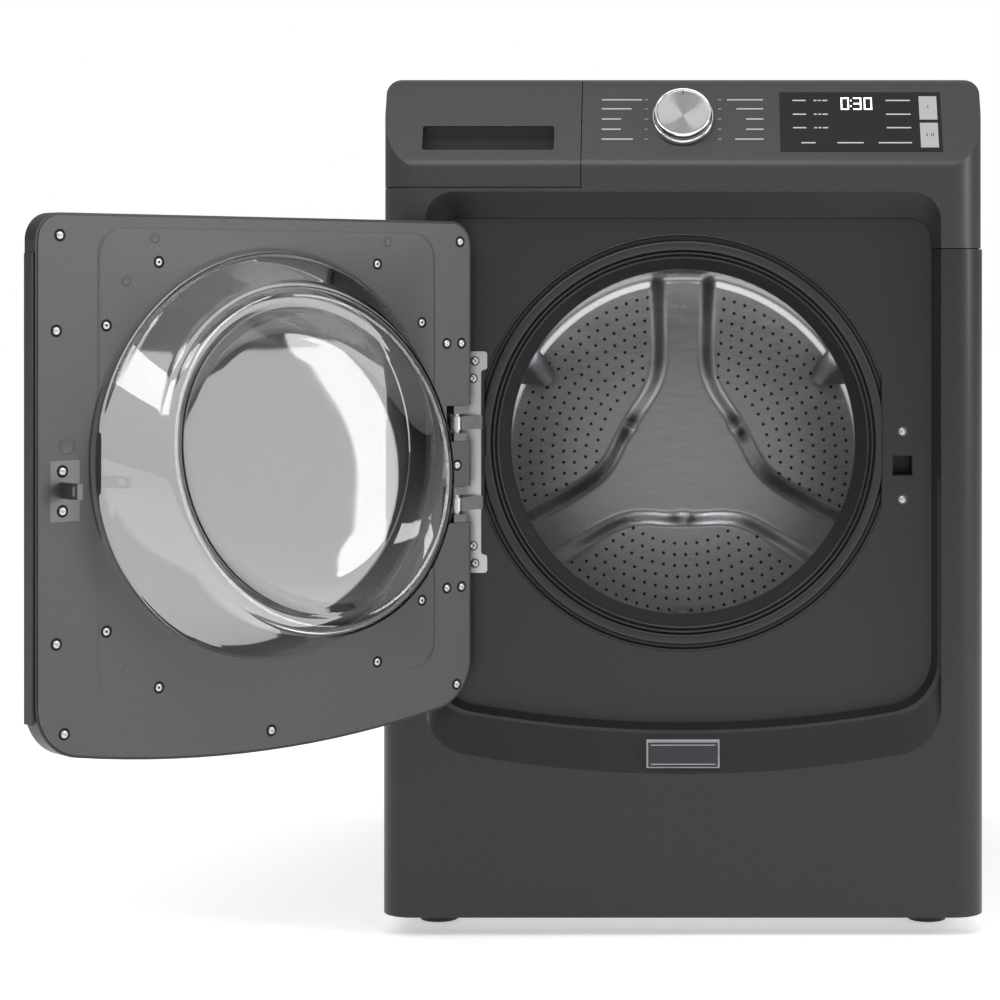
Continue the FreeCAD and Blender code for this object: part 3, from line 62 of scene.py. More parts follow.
def drum_frame():
    """The tub's axis: +Y runs along it to the rear."""
    spin = JOINTS["drum_spin"]
    axis = Vector(spin["axis"])
    return Matrix.Translation(spin["pos_m"]) @ Matrix.Rotation(math.atan2(axis.z, axis.y), 4, "X")


def door_frame():
    """Turns a point of the closed door to the open door of the rest pose."""
    hinge = JOINTS["door_hinge"]
    x, y, _ = hinge["pos_m"]
    pivot = Matrix.Translation((x, y, 0))
    return pivot @ Matrix.Rotation(math.radians(hinge["range_deg"][0]), 4, "Z") @ pivot.inverted()


SLOPE, DRUM, DOOR = slope_frame(), drum_frame(), door_frame()
PIVOT_DEPTH = 8 * MM
DOOR_BACK = JOINTS["door_hinge"]["pos_m"][1] + PIVOT_DEPTH
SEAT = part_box("hinge_bracket")[1][1]
BELLOWS_LOW, BELLOWS_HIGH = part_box("bellows")
MOUTH_Z = (BELLOWS_LOW[2] + BELLOWS_HIGH[2]) / 2


# ---- materials --------------------------------------------------------------------------------

def material(name, colour, metallic=0.0, roughness=0.5, **sockets):
    made = bpy.data.materials.new(name)
    made.use_nodes = True
    shader = made.node_tree.nodes["Principled BSDF"]
    shader.inputs["Base Color"].default_value = (*colour, 1)
    shader.inputs["Metallic"].default_value = metallic
    shader.inputs["Roughness"].default_value = roughness
    for socket, value in sockets.items():
        shader.inputs[socket.replace("_", " ")].default_value = value
    return made


def object_noise(made, scale, detail=2.0, stretch=(1, 1, 1)):
    """A noise texture in the object's own coordinates."""
    nodes, links = made.node_tree.nodes, made.node_tree.links
    place = nodes.new("ShaderNodeTexCoord")
    mapping = nodes.new("ShaderNodeMapping")
    mapping.inputs["Scale"].default_value = stretch
    noise = nodes.new("ShaderNodeTexNoise")
    noise.inputs["Scale"].default_value = scale
    noise.inputs["Detail"].default_value = detail
    links.new(place.outputs["Object"], mapping.inputs["Vector"])
    links.new(mapping.outputs["Vector"], noise.inputs["Vector"])
    return noise


def add_bump(made, scale, strength, distance=0.0002, stretch=(1, 1, 1)):
    nodes, links = made.node_tree.nodes, made.node_tree.links
    noise = object_noise(made, scale, 3.0, stretch)
    bump = nodes.new("ShaderNodeBump")
    bump.inputs["Strength"].default_value = strength
    bump.inputs["Distance"].default_value = distance
    links.new(noise.outputs["Fac"], bump.inputs["Height"])
    links.new(bump.outputs["Normal"], nodes["Principled BSDF"].inputs["Normal"])


def vary(made, socket, scale, low, high, stretch=(1, 1, 1)):
    """Lets a number or a grey-scaled colour wander between two values over the surface."""
    nodes, links = made.node_tree.nodes, made.node_tree.links
    noise = object_noise(made, scale, 4.0, stretch)
    shader = nodes["Principled BSDF"]
    if socket == "Base Color":
        blend = nodes.new("ShaderNodeValToRGB")
        blend.color_ramp.elements[0].position = 0.3
        blend.color_ramp.elements[1].position = 0.7
        blend.color_ramp.elements[0].color = (*low, 1)
        blend.color_ramp.elements[1].color = (*high, 1)
        links.new(noise.outputs["Fac"], blend.inputs["Fac"])
        links.new(blend.outputs["Color"], shader.inputs[socket])
        return
    spread = nodes.new("ShaderNodeMapRange")
    spread.inputs["To Min"].default_value = low
    spread.inputs["To Max"].default_value = high
    links.new(noise.outputs["Fac"], spread.inputs["Value"])
    links.new(spread.outputs["Result"], shader.inputs[socket])


def slate_paint():
    """Dark metallic paint with fine flake and a clear top coat."""
    made = material("slate_paint", (0.030, 0.0305, 0.032), 0.5, 0.42, Coat_Weight=0.2, Coat_Roughness=0.25)
    vary(made, "Base Color", 900, (0.020, 0.0204, 0.0215), (0.034, 0.0345, 0.0365))
    add_bump(made, 1400, 0.10, 0.0001)
    return made


def console_paint():
    made = material("console_paint", (0.05, 0.0505, 0.053), 0.5, 0.4)
    vary(made, "Base Color", 900, (0.040, 0.0405, 0.043), (0.060, 0.0605, 0.064))
    add_bump(made, 1600, 0.10, 0.0001)
    return made


def door_liner():
    """The painted inner panel of the door, satin."""
    made = material("door_liner", (0.11, 0.112, 0.115), 0.4, 0.45)
    vary(made, "Base Color", 800, (0.075, 0.0765, 0.079), (0.098, 0.0995, 0.102))
    add_bump(made, 1200, 0.12, 0.0001)
    return made


def gasket_rubber():
    made = material("gasket_rubber", (0.016, 0.0165, 0.0175), 0.0, 0.4)
    vary(made, "Roughness", 40, 0.32, 0.46)
    add_bump(made, 700, 0.15, 0.0001)
    return made


def polished_drum():
    """Polished stainless sheet with faint rolling lines."""
    made = material("polished_drum", (0.66, 0.66, 0.67), 1.0, 0.26)
    vary(made, "Roughness", 30, 0.20, 0.30, (1, 1, 6))
    add_bump(made, 300, 0.05, 0.0002, (1, 0.05, 1))
    return made


def spun_metal():
    """A turned face whose fine grooves run round the knob."""
    made = material("spun_metal", (0.36, 0.36, 0.37), 1.0, 0.27, Anisotropic=1.0)
    nodes, links = made.node_tree.nodes, made.node_tree.links
    tangent = nodes.new("ShaderNodeTangent")
    tangent.direction_type = "RADIAL"
    tangent.axis = "Y"
    links.new(tangent.outputs["Tangent"], nodes["Principled BSDF"].inputs["Tangent"])
    return made


def brushed(name, colour, roughness=0.3):
    made = material(name, colour, 1.0, roughness)
    vary(made, "Roughness", 60, roughness - 0.06, roughness + 0.08, (1, 1, 8))
    return made


def plastic(name, colour, roughness):
    made = material(name, colour, 0.0, roughness)
    vary(made, "Roughness", 90, roughness - 0.05, roughness + 0.05)
    add_bump(made, 900, 0.08, 0.0001)
    return made


def glowing(name, colour, strength):
    return material(name, colour, 0.0, 0.5, Emission_Color=(*colour, 1), Emission_Strength=strength)


def concrete():
    made = material("concrete", (0.4, 0.39, 0.37), 0.0, 0.9)
    vary(made, "Base Color", 60, (0.32, 0.31, 0.30), (0.46, 0.45, 0.43))
    add_bump(made, 200, 0.5, 0.001)
    return made


PAINT = slate_paint()
CONSOLE = console_paint()
LINER = door_liner()
RUBBER = gasket_rubber()
DRUM_STEEL = polished_drum()
SPUN = spun_metal()
CHROME = material("bright_chrome", (0.82, 0.82, 0.83), 1.0, 0.09)
BRIGHT_STEEL = brushed("bright_steel", (0.60, 0.60, 0.61), 0.34)
GALVANISED = brushed("galvanised", (0.5, 0.51, 0.52), 0.38)
DARK_METAL = brushed("dark_metal", (0.16, 0.16, 0.165), 0.4)
MACHINED = brushed("machined_steel", (0.45, 0.45, 0.46), 0.32)
CAST = brushed("cast_aluminium", (0.55, 0.55, 0.56), 0.5)
BLACK = plastic("black_plastic", (0.012, 0.012, 0.013), 0.42)
DARK_GLOSS = material("display_gloss", (0.010, 0.010, 0.011), 0.0, 0.3, Specular_IOR_Level=0.25)
SILVER = plastic("silver_button", (0.36, 0.365, 0.37), 0.45)
PLATE = brushed("plain_plate", (0.80, 0.80, 0.81), 0.3)
VANE = plastic("vane_plastic", (0.05, 0.052, 0.055), 0.4)
WHITE = plastic("white_plastic", (0.72, 0.72, 0.71), 0.45)
TUB = plastic("tub_plastic", (0.28, 0.29, 0.3), 0.55)
BADGE = plastic("badge_field", (0.012, 0.014, 0.020), 0.3)
# Flat near-black colour that paints the shade seen inside holes and round recessed screws: painted shade.
HOLE_SHADE = material("painted_hole_shade", (0.004, 0.004, 0.004), 0.0, 0.9)
PRINT = material("printed_grey", (0.42, 0.43, 0.44), 0.0, 0.5)
INK = material("printed_dark", (0.05, 0.05, 0.06), 0.0, 0.5)
DIGITS = glowing("display_digits", (0.9, 0.95, 1.0), 2.4)
ICONS = glowing("display_icons", (0.35, 0.36, 0.38), 0.35)
GLASS = material("clear_glass", (1.0, 1.0, 1.0), 0.0, 0.02, Transmission_Weight=1.0, IOR=1.45)
TINTED = material("tinted_glass", (0.42, 0.42, 0.43), 0.0, 0.03, Transmission_Weight=1.0, IOR=1.2)
CONCRETE = concrete()

NODE_MATERIALS = (
    (PAINT, "side_panel_left side_panel_right top_panel front_panel door_outer_panel"),
    (LINER, "door_inner_panel"),
    (CONSOLE, "control_console drawer_front"),
    (GALVANISED, "rear_panel rear_access_cover base_frame top_rail"),
    (BLACK, "door_lock door_handle drain_outlet power_gland drain_pump control_unit sump_hose drive_belt"),
    (DARK_GLOSS, "display_panel door_trim_ring"),
    (SILVER, "power_button start_button"),
    (PLATE, "badge_plate"),
    (CHROME, "knob_ring"),
    (SPUN, "knob_cap"),
    (BRIGHT_STEEL, "hinge_bracket hinge_arms front_screws door_screws"),
    (DARK_METAL, "door_strike hinge_plate"),
    (WHITE, "drawer_tray dispenser_housing inlet_valves"),
    (RUBBER, "bellows"),
    (GLASS, "door_glass_bowl"),
    (TINTED, "door_window"),
    (DRUM_STEEL, "drum_basket drum_rear_wall"),
    (VANE, "baffle_1 baffle_2 baffle_3"),
    (TUB, "tub_front tub_rear damper_cylinders"),
    (CONCRETE, "counterweights"),
    (CAST, "drum_spider drum_pulley"),
    (MACHINED, "drum_bearings drive_motor heating_element damper_rods suspension_springs motor_pulley"),
    (BLACK, "levelling_foot_1 levelling_foot_2 levelling_foot_3 levelling_foot_4"),
)


def finish_cad_nodes():
    """Gives every carried-over node its material."""
    for finish, names in NODE_MATERIALS:
        for name in names.split():
            node = frame["nodes"][name]
            if not node.material_slots:
                node.data.materials.append(finish)
            for entry in node.material_slots:
                entry.link = "OBJECT"
                entry.material = finish


def soften_edges():
    """A small bevel on the crisp edges of the carried-over nodes."""
    for width, names in ((0.5, "badge_plate power_button start_button hinge_bracket door_strike"),
                         (0.9, "hinge_arms control_console drawer_front door_handle")):
        for name in names.split():
            bevel = frame["nodes"][name].modifiers.new("soft edge", "BEVEL")
            bevel.width = width * MM
            bevel.segments = 3
            bevel.limit_method = "ANGLE"
            bevel.angle_limit = math.radians(40)


# ---- mesh helpers -----------------------------------------------------------------------------

def mesh_piece(name, points, faces, finish, body, place=Matrix.Identity(4), smooth=True):
    """A mesh given in the part's own coordinates after placing, that rides on a body."""
    mesh = bpy.data.meshes.new(name)
    mesh.from_pydata([place @ Vector(p) for p in points], [], faces)
    mesh.materials.append(finish)
    shell = bmesh.new()
    shell.from_mesh(mesh)
    bmesh.ops.remove_doubles(shell, verts=shell.verts, dist=1e-6)
    bmesh.ops.recalc_face_normals(shell, faces=shell.faces)
    shell.to_mesh(mesh)
    shell.free()
    for face in mesh.polygons:
        face.use_smooth = smooth
    piece = bpy.data.objects.new(name, mesh)
    bpy.context.scene.collection.objects.link(piece)
    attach(piece, body)
    return piece


def grid_faces(rows, columns, closed=True):
    """Quads between rows of points; closed joins each row's last point to its first."""
    spans = columns if closed else columns - 1
    return [(r * columns + c, r * columns + (c + 1) % columns, (r + 1) * columns + (c + 1) % columns,
             (r + 1) * columns + c) for r in range(rows - 1) for c in range(spans)]


def turned_points(profile, count, shape=None):
    """Rings of points round the Y axis from (y, radius) pairs in millimetres."""
    points = []
    for y, radius in profile:
        for k in range(count):
            angle = 2 * math.pi * k / count
            spot = Vector((radius * math.cos(angle), y, radius * math.sin(angle))) * MM
            points.append(shape(spot) if shape else spot)
    return points


def softened(profile, radius, steps=4):
    """A (y, radius) profile with each inner corner replaced by a short curve."""
    path = [Vector(p) for p in profile]
    soft = [path[0]]
    for before, corner, after in zip(path, path[1:], path[2:]):
        reach = min(radius, (corner - before).length * 0.45, (after - corner).length * 0.45)
        start = corner + (before - corner).normalized() * reach
        end = corner + (after - corner).normalized() * reach
        for step in range(steps + 1):
            t = step / steps
            soft.append(start * (1 - t) ** 2 + corner * 2 * t * (1 - t) + end * t ** 2)
    return [tuple(p) for p in soft + [path[-1]]]


def turned_piece(name, profile, finish, body, place, count=96, shape=None, loop=False):
    points = turned_points(profile, count, shape)
    faces = grid_faces(len(profile), count)
    if loop:
        last = (len(profile) - 1) * count
        faces += [(last + k, last + (k + 1) % count, (k + 1) % count, k) for k in range(count)]
    return mesh_piece(name, points, faces, finish, body, place)


def discs(name, spots, radius, finish, body, place=Matrix.Identity(4), count=10):
    """Small flat discs, each given by its centre and its normal."""
    points, faces = [], []
    for centre, normal in spots:
        side = normal.orthogonal().normalized()
        up = normal.cross(side)
        start = len(points)
        for k in range(count):
            angle = 2 * math.pi * k / count
            points.append(centre + (side * math.cos(angle) + up * math.sin(angle)) * radius)
        faces.append(tuple(range(start, start + count)))
    return mesh_piece(name, points, faces, finish, body, place, smooth=False)


def slabs(name, rectangles, finish, body, place, depth=(-0.15, 0.0)):
    """Thin raised marks on a face: (left, right, low, high) in millimetres, standing out along -Y."""
    points, faces = [], []
    for left, right, low, high in rectangles:
        start = len(points)
        for y in depth:
            points += [(left * MM, y * MM, low * MM), (right * MM, y * MM, low * MM),
                       (right * MM, y * MM, high * MM), (left * MM, y * MM, high * MM)]
        faces.append((start, start + 1, start + 2, start + 3))
        for k in range(4):
            faces.append((start + k, start + (k + 1) % 4, start + 4 + (k + 1) % 4, start + 4 + k))
    return mesh_piece(name, points, faces, finish, body, place, smooth=False)


# ---- door ---------------------------------------------------------------------------------------

BOWL_RADIUS, BOWL_RIM, BOWL_REACH, BOWL_SLANT, BOWL_WALL = 212.5, 178, 82, 11.7, 4.5


def bowl_place():
    return DOOR @ Matrix.Translation((0, DOOR_BACK, MOUTH_Z - 1.5 * MM))


def glass_bowl():
    """The clear bowl: collar, slanted cone, thick rounded rim and dished end."""
    wall = [(-4.2, 219, 0), (-4.2, 213, 0), (6, 212.3, 0), (10, 211.4, 0), (14, 209, 0.06)]
    for step in range(1, 12):
        t = step / 12
        wall.append((14 + (BOWL_REACH - 20) * t, 209 - 29 * t, 0.06 + 0.9 * t))
    wall += [(75, 179.5, 1), (78.5, 178.3, 1), (80.8, 176, 1), (81.8, 172.5, 1), (81.4, 168.5, 1),
             (79, 165, 1), (75, 162, 1), (69, 158.5, 1), (62, 153, 1), (55.5, 146, 1), (51, 137, 1),
             (49, 125, 1), (47.5, 100, 1), (46.5, 60, 1), (46, 20, 1), (46, 0, 1)]
    lean = math.tan(math.radians(BOWL_SLANT))
    count = 144
    points = []
    for height, radius, share in wall:
        for k in range(count):
            angle = 2 * math.pi * k / count
            x, z = radius * math.cos(angle), radius * math.sin(angle)
            points.append(Vector((x, height - z * lean * share, z)) * MM)
    piece = mesh_piece("glass_bowl", points, grid_faces(len(wall), count), GLASS, "door", bowl_place())
    skin = piece.modifiers.new("wall", "SOLIDIFY")
    skin.thickness = BOWL_WALL * MM
    skin.offset = 1.0
    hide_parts("door_glass_bowl")
    return piece


def screw_head_points():
    """A pan head with a six-lobed socket, in millimetres about its seat; +Y points out."""
    rings = [(0.0, 4.0, 0), (0.9, 4.0, 0), (1.5, 3.3, 0), (1.6, 2.2, 0),
             (1.6, 1.5, 1), (0.5, 1.4, 1), (0.5, 0, 0)]
    count = 36
    points = []
    for y, radius, lobed in rings:
        for k in range(count):
            angle = 2 * math.pi * k / count
            reach = radius * (1 + 0.14 * lobed * math.cos(6 * angle))
            points.append(Vector((reach * math.cos(angle), y, reach * math.sin(angle))) * MM)
    return points, grid_faces(len(rings), count)


def screws(name, spots, finish, body, place, replaced):
    """Screw heads at (x, y, z, outward sign) spots."""
    head, quads = screw_head_points()
    points, faces = [], []
    for x, y, z, sign in spots:
        start = len(points)
        points += [Vector((x + p.x, y + sign * p.y, z + p.z)) for p in head]
        faces += [tuple(start + i for i in quad) for quad in quads]
    piece = mesh_piece(name, points, faces, finish, body, place)
    if replaced:
        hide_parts(replaced)
    return piece


DOOR_SCREWS = [(sx * x, z) for x, high, low in ((140, 763, 324), (202, 698, 387)) for sx in (-1, 1)
               for z in (high, low)]
DOOR_SCREWS += [(-257, 789), (255, 789), (-252, 288), (250, 288), (259, 693), (259, 379),
                (0, 264), (-253, 536)]
DOOR_SCREWS += [(x, z) for x in (-238, -259) for z in (674, 398)] + [(252, 552), (252, 512)]
CABINET_SCREWS = [(252, 572, 0), (252, 494, 0),
                  (-239, 653, 2), (-241, 633, 2), (-241, 441, 2), (-239, 421, 2)]


def all_screws():
    door = [(x * MM, DOOR_BACK, z * MM, 1) for x, z in DOOR_SCREWS]
    screws("door_screw_heads", door, BRIGHT_STEEL, "door", DOOR, "door_screws")
    # Near-black discs under the door screw heads: painted shade of the recess round each screw.
    shade_rings = []
    for x, z in DOOR_SCREWS:
        on_field = abs(x) < 210 and z > 270
        lift = 1.0 if on_field else 0.25
        shade_rings.append((Vector((x * MM, DOOR_BACK + lift * MM, z * MM)), Vector((0, 1, 0))))
    discs("door_screw_shade_rings", shade_rings, 6.4 * MM, HOLE_SHADE, "door", DOOR, 32)
    fixed = [(x * MM, SEAT - lift * MM, z * MM, -1) for x, z, lift in CABINET_SCREWS]
    screws("cabinet_screw_heads", fixed, BRIGHT_STEEL, "cabinet", Matrix.Identity(4), "front_screws")
    seats = [(Vector((x * MM, SEAT - (lift + 0.25) * MM, z * MM)), Vector((0, -1, 0)))
             for x, z, lift in CABINET_SCREWS]
    discs("cabinet_screw_cups", seats, 5.6 * MM, DARK_METAL, "cabinet", Matrix.Identity(4), 32)


def rounded_reach(angle, left, right, low, high, corner):
    """Where a ray from the bowl's centre meets a rectangle with rounded corners."""
    way = Vector((math.cos(angle), math.sin(angle)))
    near, far = 0.0, 600.0
    for _ in range(30):
        middle = (near + far) / 2
        x, z = way * middle
        over_x = max(left + corner - x, x - (right - corner), 0)
        over_z = max(low + corner - z, z - (high - corner), 0)
        inside = math.hypot(over_x, over_z) <= corner
        near, far = (middle, far) if inside else (near, middle)
    return near


def liner_field():
    """The raised middle of the inner panel, with its pressed edge and the lip round the bowl."""
    count = 240
    rings = []
    for grown, lift in ((0, -0.2), (-1.2, 0.2), (-3.2, 0.7), (-5.5, 0.8)):
        rings.append([(rounded_reach(2 * math.pi * k / count, -222 - grown, 213 + grown, -247 - grown,
                                     241 + grown, 30 + grown), lift) for k in range(count)])
    for radius, lift in ((222, 0.8), (219.5, 1.8), (217.5, 3.0), (215.5, 3.2), (214, 2.4), (213.6, -3)):
        rings.append([(radius, lift)] * count)
    points = []
    for ring in rings:
        for k, (reach, lift) in enumerate(ring):
            angle = 2 * math.pi * k / count
            points.append(Vector((reach * math.cos(angle), lift, reach * math.sin(angle))) * MM)
    piece = mesh_piece("liner_field", points, grid_faces(len(rings), count), LINER, "door", bowl_place())
    bumps = ((145, 788, 5.5), (-153, 788, 5.5), (179, 744, 5.5), (179, 344, 5.5), (247, 578, 9))
    for number, (x, z, radius) in enumerate(bumps, 1):
        dome = [(-0.3, radius + 0.8), (0.5, radius), (0.9, radius - 1), (0.6, radius - 2), (0.5, 0)]
        place = DOOR @ Matrix.Translation((x * MM, DOOR_BACK + (0.7 if abs(x) < 200 else 0) * MM, z * MM))
        turned_piece(f"liner_boss_{number}", dome, LINER, "door", place, 40)


# ---- drum and mouth -------------------------------------------------------------------------------

def mouth_gasket():
    """The rubber bellows with its flange, stepped lips and cone to the opening."""
    flat, flange_from, sleeve_from, tub_face = 227.6 * MM, 0.2275, 60 * MM, 44 * MM
    profile = softened([
        (88, 221.8), (12, 221.8), (26, 206), (27, 200), (21, 198.2), (16, 199.4), (1.5, 210.5),
        (-1.0, 211.2), (-1.8, 213), (2.6, 214.6), (-2.2, 216.4), (-2.6, 218.0), (2.4, 219.6),
        (-3.0, 221.0), (-3.6, 223.5), (-3.8, 229.5), (-2.6, 231.6), (4.6, 232.4), (4.6, 237.2),
        (-0.8, 237.4), (-1.0, 239.5), (5.5, 239.5), (5.5, 226), (88, 226)], 1.6, 3)

    back = DRUM @ Vector((0, tub_face, 0))
    normal = DRUM.to_3x3() @ Vector((0, 1, 0))

    def shaped(spot):
        """Keeps the flange inside its flats and the sleeve's end on the tub's tilted face."""
        limit = flat if math.hypot(spot.x, spot.z) > flange_from else 1
        depth = spot.y
        if depth > sleeve_from:
            depth = back.y - (spot.z + MOUTH_Z - back.z) * normal.z / normal.y - SEAT
        return Vector((max(-limit, min(limit, spot.x)), depth, spot.z))

    place = Matrix.Translation((0, SEAT, MOUTH_Z))
    piece = turned_piece("mouth_gasket", profile, RUBBER, "cabinet", place, 192, shaped, loop=True)
    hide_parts("bellows")
    return piece


ARM_ANGLES = (90, 210, 330)
VANE_ANGLES = (30, 150, 270)
DRUM_INSIDE = 270.5
REAR_WALL_AT = 563.5
STAR_RISE = 8.6


def star_height(radius, angle):
    """How far the drum's rear wall stands forward at a place: a hub with three flared arms."""
    best = 0.0
    for middle in ARM_ANGLES:
        turn = math.radians(angle - middle)
        along, across = radius * math.cos(turn), abs(radius * math.sin(turn))
        if along <= 0:
            continue
        flare = 30 + 8 * (along / 260) + 46 * math.exp(-((along - 30) / 55) ** 2)
        end = 1 - smooth((along - 235) / 28)
        best = max(best, (1 - smooth((across - flare + 16) / 26)) * end)
    hub = 1 - smooth((radius - 62) / 34)
    return max(best, hub)


def smooth(t):
    t = max(0.0, min(1.0, t))
    return t * t * (3 - 2 * t)


def drum_back():
    """The polished rear wall with its embossed star."""
    rings, count = 90, 360
    points = []
    for r in range(rings + 1):
        radius = DRUM_INSIDE * r / rings
        for k in range(count):
            angle = 360 * k / count
            height = star_height(radius, angle)
            ridge = 2.2 * smooth((radius - 236) / 8) * (1 - smooth((radius - 250) / 8))
            turn = math.radians(angle)
            y = REAR_WALL_AT - STAR_RISE * height - ridge
            points.append(Vector((radius * math.cos(turn), y, radius * math.sin(turn))) * MM)
    piece = mesh_piece("drum_back", points, grid_faces(rings + 1, count), DRUM_STEEL, "drum", DRUM)
    skin = piece.modifiers.new("wall", "SOLIDIFY")
    skin.thickness = 1.2 * MM
    skin.offset = 0
    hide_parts("drum_rear_wall")
    return piece


def drum_perforations():
    """The small holes between the star's arms and round the drum's wall, drawn as near-black discs:
    painted shade where the holes are, nothing is cut.
    """
    spots = []
    for row in range(9):
        radius = 118 + 15 * row
        steps = int(2 * math.pi * radius / 15)
        for k in range(steps):
            angle = 360 * (k + 0.5 * (row % 2)) / steps
            if star_height(radius, angle) > 0.02 or 236 < radius < 258:
                continue
            turn = math.radians(angle)
            centre = Vector((radius * math.cos(turn), 562.4, radius * math.sin(turn))) * MM
            spots.append((centre, Vector((0, -1, 0))))
    # Near-black discs paint the shade seen through the rear wall's holes.
    discs("rear_perforation_shade", spots, 2.1 * MM, HOLE_SHADE, "drum", DRUM)
    wall = []
    for row in range(26):
        y = 85 + 18 * row
        for k in range(90):
            angle = 4 * (k + 0.5 * (row % 2))
            near_vane = min(abs((angle - vane + 180) % 360 - 180) for vane in VANE_ANGLES) < 11
            if near_vane:
                continue
            turn = math.radians(angle)
            inward = Vector((-math.cos(turn), 0, -math.sin(turn)))
            wall.append((Vector((270.2 * math.cos(turn), y, 270.2 * math.sin(turn))) * MM, inward))
    # Near-black discs paint the shade seen through the drum wall's holes.
    discs("wall_perforation_shade", wall, 2.0 * MM, HOLE_SHADE, "drum", DRUM, 8)


def vanes():
    """The three lifters, rounded along their crests."""
    outline = softened([(270.4, -37), (258, -35), (206, -11), (200.5, 0),
                        (206, 11), (258, 35), (270.4, 37)], 9, 5)
    for number, angle in enumerate(VANE_ANGLES, 1):
        turn = Matrix.Rotation(-math.radians(angle), 4, "Y")
        stations = [(82, 0.72), (86, 0.88), (96, 0.98), (120, 1.0),
                    (500, 1.0), (528, 0.97), (540, 0.86), (545, 0.7)]
        points = []
        for y, scale in stations:
            for radius, across in outline:
                height = 270.4 - (270.4 - radius) * scale
                points.append(Vector((height, y, across * (0.9 + 0.1 * scale))) * MM)
        faces = grid_faces(len(stations), len(outline), closed=False)
        faces.append(tuple(range(len(outline))))
        last = (len(stations) - 1) * len(outline)
        faces.append(tuple(last + k for k in reversed(range(len(outline)))))
        piece = mesh_piece(f"vane_{number}", points, faces, VANE, "drum", DRUM @ turn)
        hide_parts(f"baffle_{number}")


# ---- console -----------------------------------------------------------------------------------

def knob():
    """The turning dial: a spun metal cap in a bright ring."""
    cap = softened([(-0.6, 32.8), (-14.5, 32.6), (-16.6, 30.5), (-15.9, 29.0),
                    (-15.7, 20), (-15.6, 0)], 1.2, 4)
    face = turned_piece("dial_cap", cap, SPUN, "knob", SLOPE, 128)
    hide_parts("knob_cap")
    ring = softened([(-0.7, 33.4), (-0.7, 35.9), (-4.5, 35.7), (-7.4, 34.6), (-7.9, 33.4)], 1.0, 4)
    skirt = turned_piece("dial_ring", ring, CHROME, "knob", SLOPE, 128, loop=True)
    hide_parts("knob_ring")
    rim = softened([(-14.6, 32.7), (-16.4, 32.2), (-16.9, 31.2), (-16.4, 30.2), (-15.4, 29.8)], 0.6, 3)
    bright = turned_piece("dial_rim", rim, CHROME, "knob", SLOPE, 128)
    slabs("dial_pointer", [(-0.7, 0.7, 24, 29)], INK, "knob", SLOPE, (-16.0, -15.4))


def console_marks():
    """Plain dashes for the cycles on both sides of the dial."""
    rows = [27, 14.5, 0.5, -13.5, -27]
    lengths = [46, 34, 22, 22, 36]
    marks = []
    for row, length in zip(rows, lengths):
        marks += [(-93, -93 + length, row - 0.8, row + 0.8), (92 - length * 0.9, 92, row - 0.8, row + 0.8)]
        marks += [(-44, -40, row - 0.3, row + 0.3), (40, 44, row - 0.3, row + 0.3)]
    slabs("cycle_marks", marks, PRINT, "cabinet", SLOPE)


REAR_RIBS = ((-285, 90, 820), (285, 90, 820), (-150, 520, 830), (150, 520, 830))


def rear_details():
    """Pressed ribs in the rear panel and the screws round its edge."""
    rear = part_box("rear_panel")[1][1]
    place = Matrix.Translation((0, rear, 0)) @ Matrix.Rotation(math.pi, 4, "Z")
    section = [(-0.1, 9), (1.2, 6.5), (1.6, 4), (1.7, 0)]
    count = 24
    for number, (x, low, high) in enumerate(REAR_RIBS, 1):
        points = []
        for rise, reach in section:
            for k in range(count):
                angle = 2 * math.pi * k / count
                end = high if math.sin(angle) > 0 else low
                across, along = reach * math.cos(angle), reach * math.sin(angle)
                points.append(Vector((x + across, -rise, end + along)) * MM)
        rib = mesh_piece(f"rear_rib_{number}", points, grid_faces(len(section), count), GALVANISED,
                         "cabinet", place)
    spots = [(side * 331, z) for side in (-1, 1) for z in (70, 290, 510, 730, 930)]
    spots += [(x, 60) for x in (-180, 0, 180)]
    heads = [(x * MM, rear, z * MM, 1) for x, z in spots]
    screws("rear_screw_heads", heads, GALVANISED, "cabinet", Matrix.Identity(4), None)


def badge_marks():
    """The badge's plain dark field inside its bright rim, with two plain lines."""
    (_, face, low), (half, _, high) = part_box("badge_plate")
    low, high, half = low / MM, high / MM, half / MM
    place = Matrix.Translation((0, face, 0))
    slabs("badge_field", [(-half + 2, half - 2, low + 2, high - 2)], BADGE, "cabinet", place, (-0.12, 0.3))
    lines = [(-half + 5, half - 5, z - 0.4, z + 0.4) for z in (low + 5, high - 5)]
    slabs("badge_line", lines, PRINT, "cabinet", place, (-0.2, 0.0))


SEGMENTS = {"0": "abcdef", "3": "abcdg"}


def digit(code, x, z, width=9.2, height=16.6, thick=1.5):
    half = height / 2
    shapes = {"a": (x, x + width, z + height - thick, z + height), "d": (x, x + width, z, z + thick),
              "g": (x, x + width, z + half - thick / 2, z + half + thick / 2),
              "f": (x, x + thick, z + half + 0.3, z + height - 0.3),
              "e": (x, x + thick, z + 0.3, z + half - 0.3),
              "b": (x + width - thick, x + width, z + half + 0.3, z + height - 0.3),
              "c": (x + width - thick, x + width, z + 0.3, z + half - 0.3)}
    return [shapes[s] for s in SEGMENTS[code]]


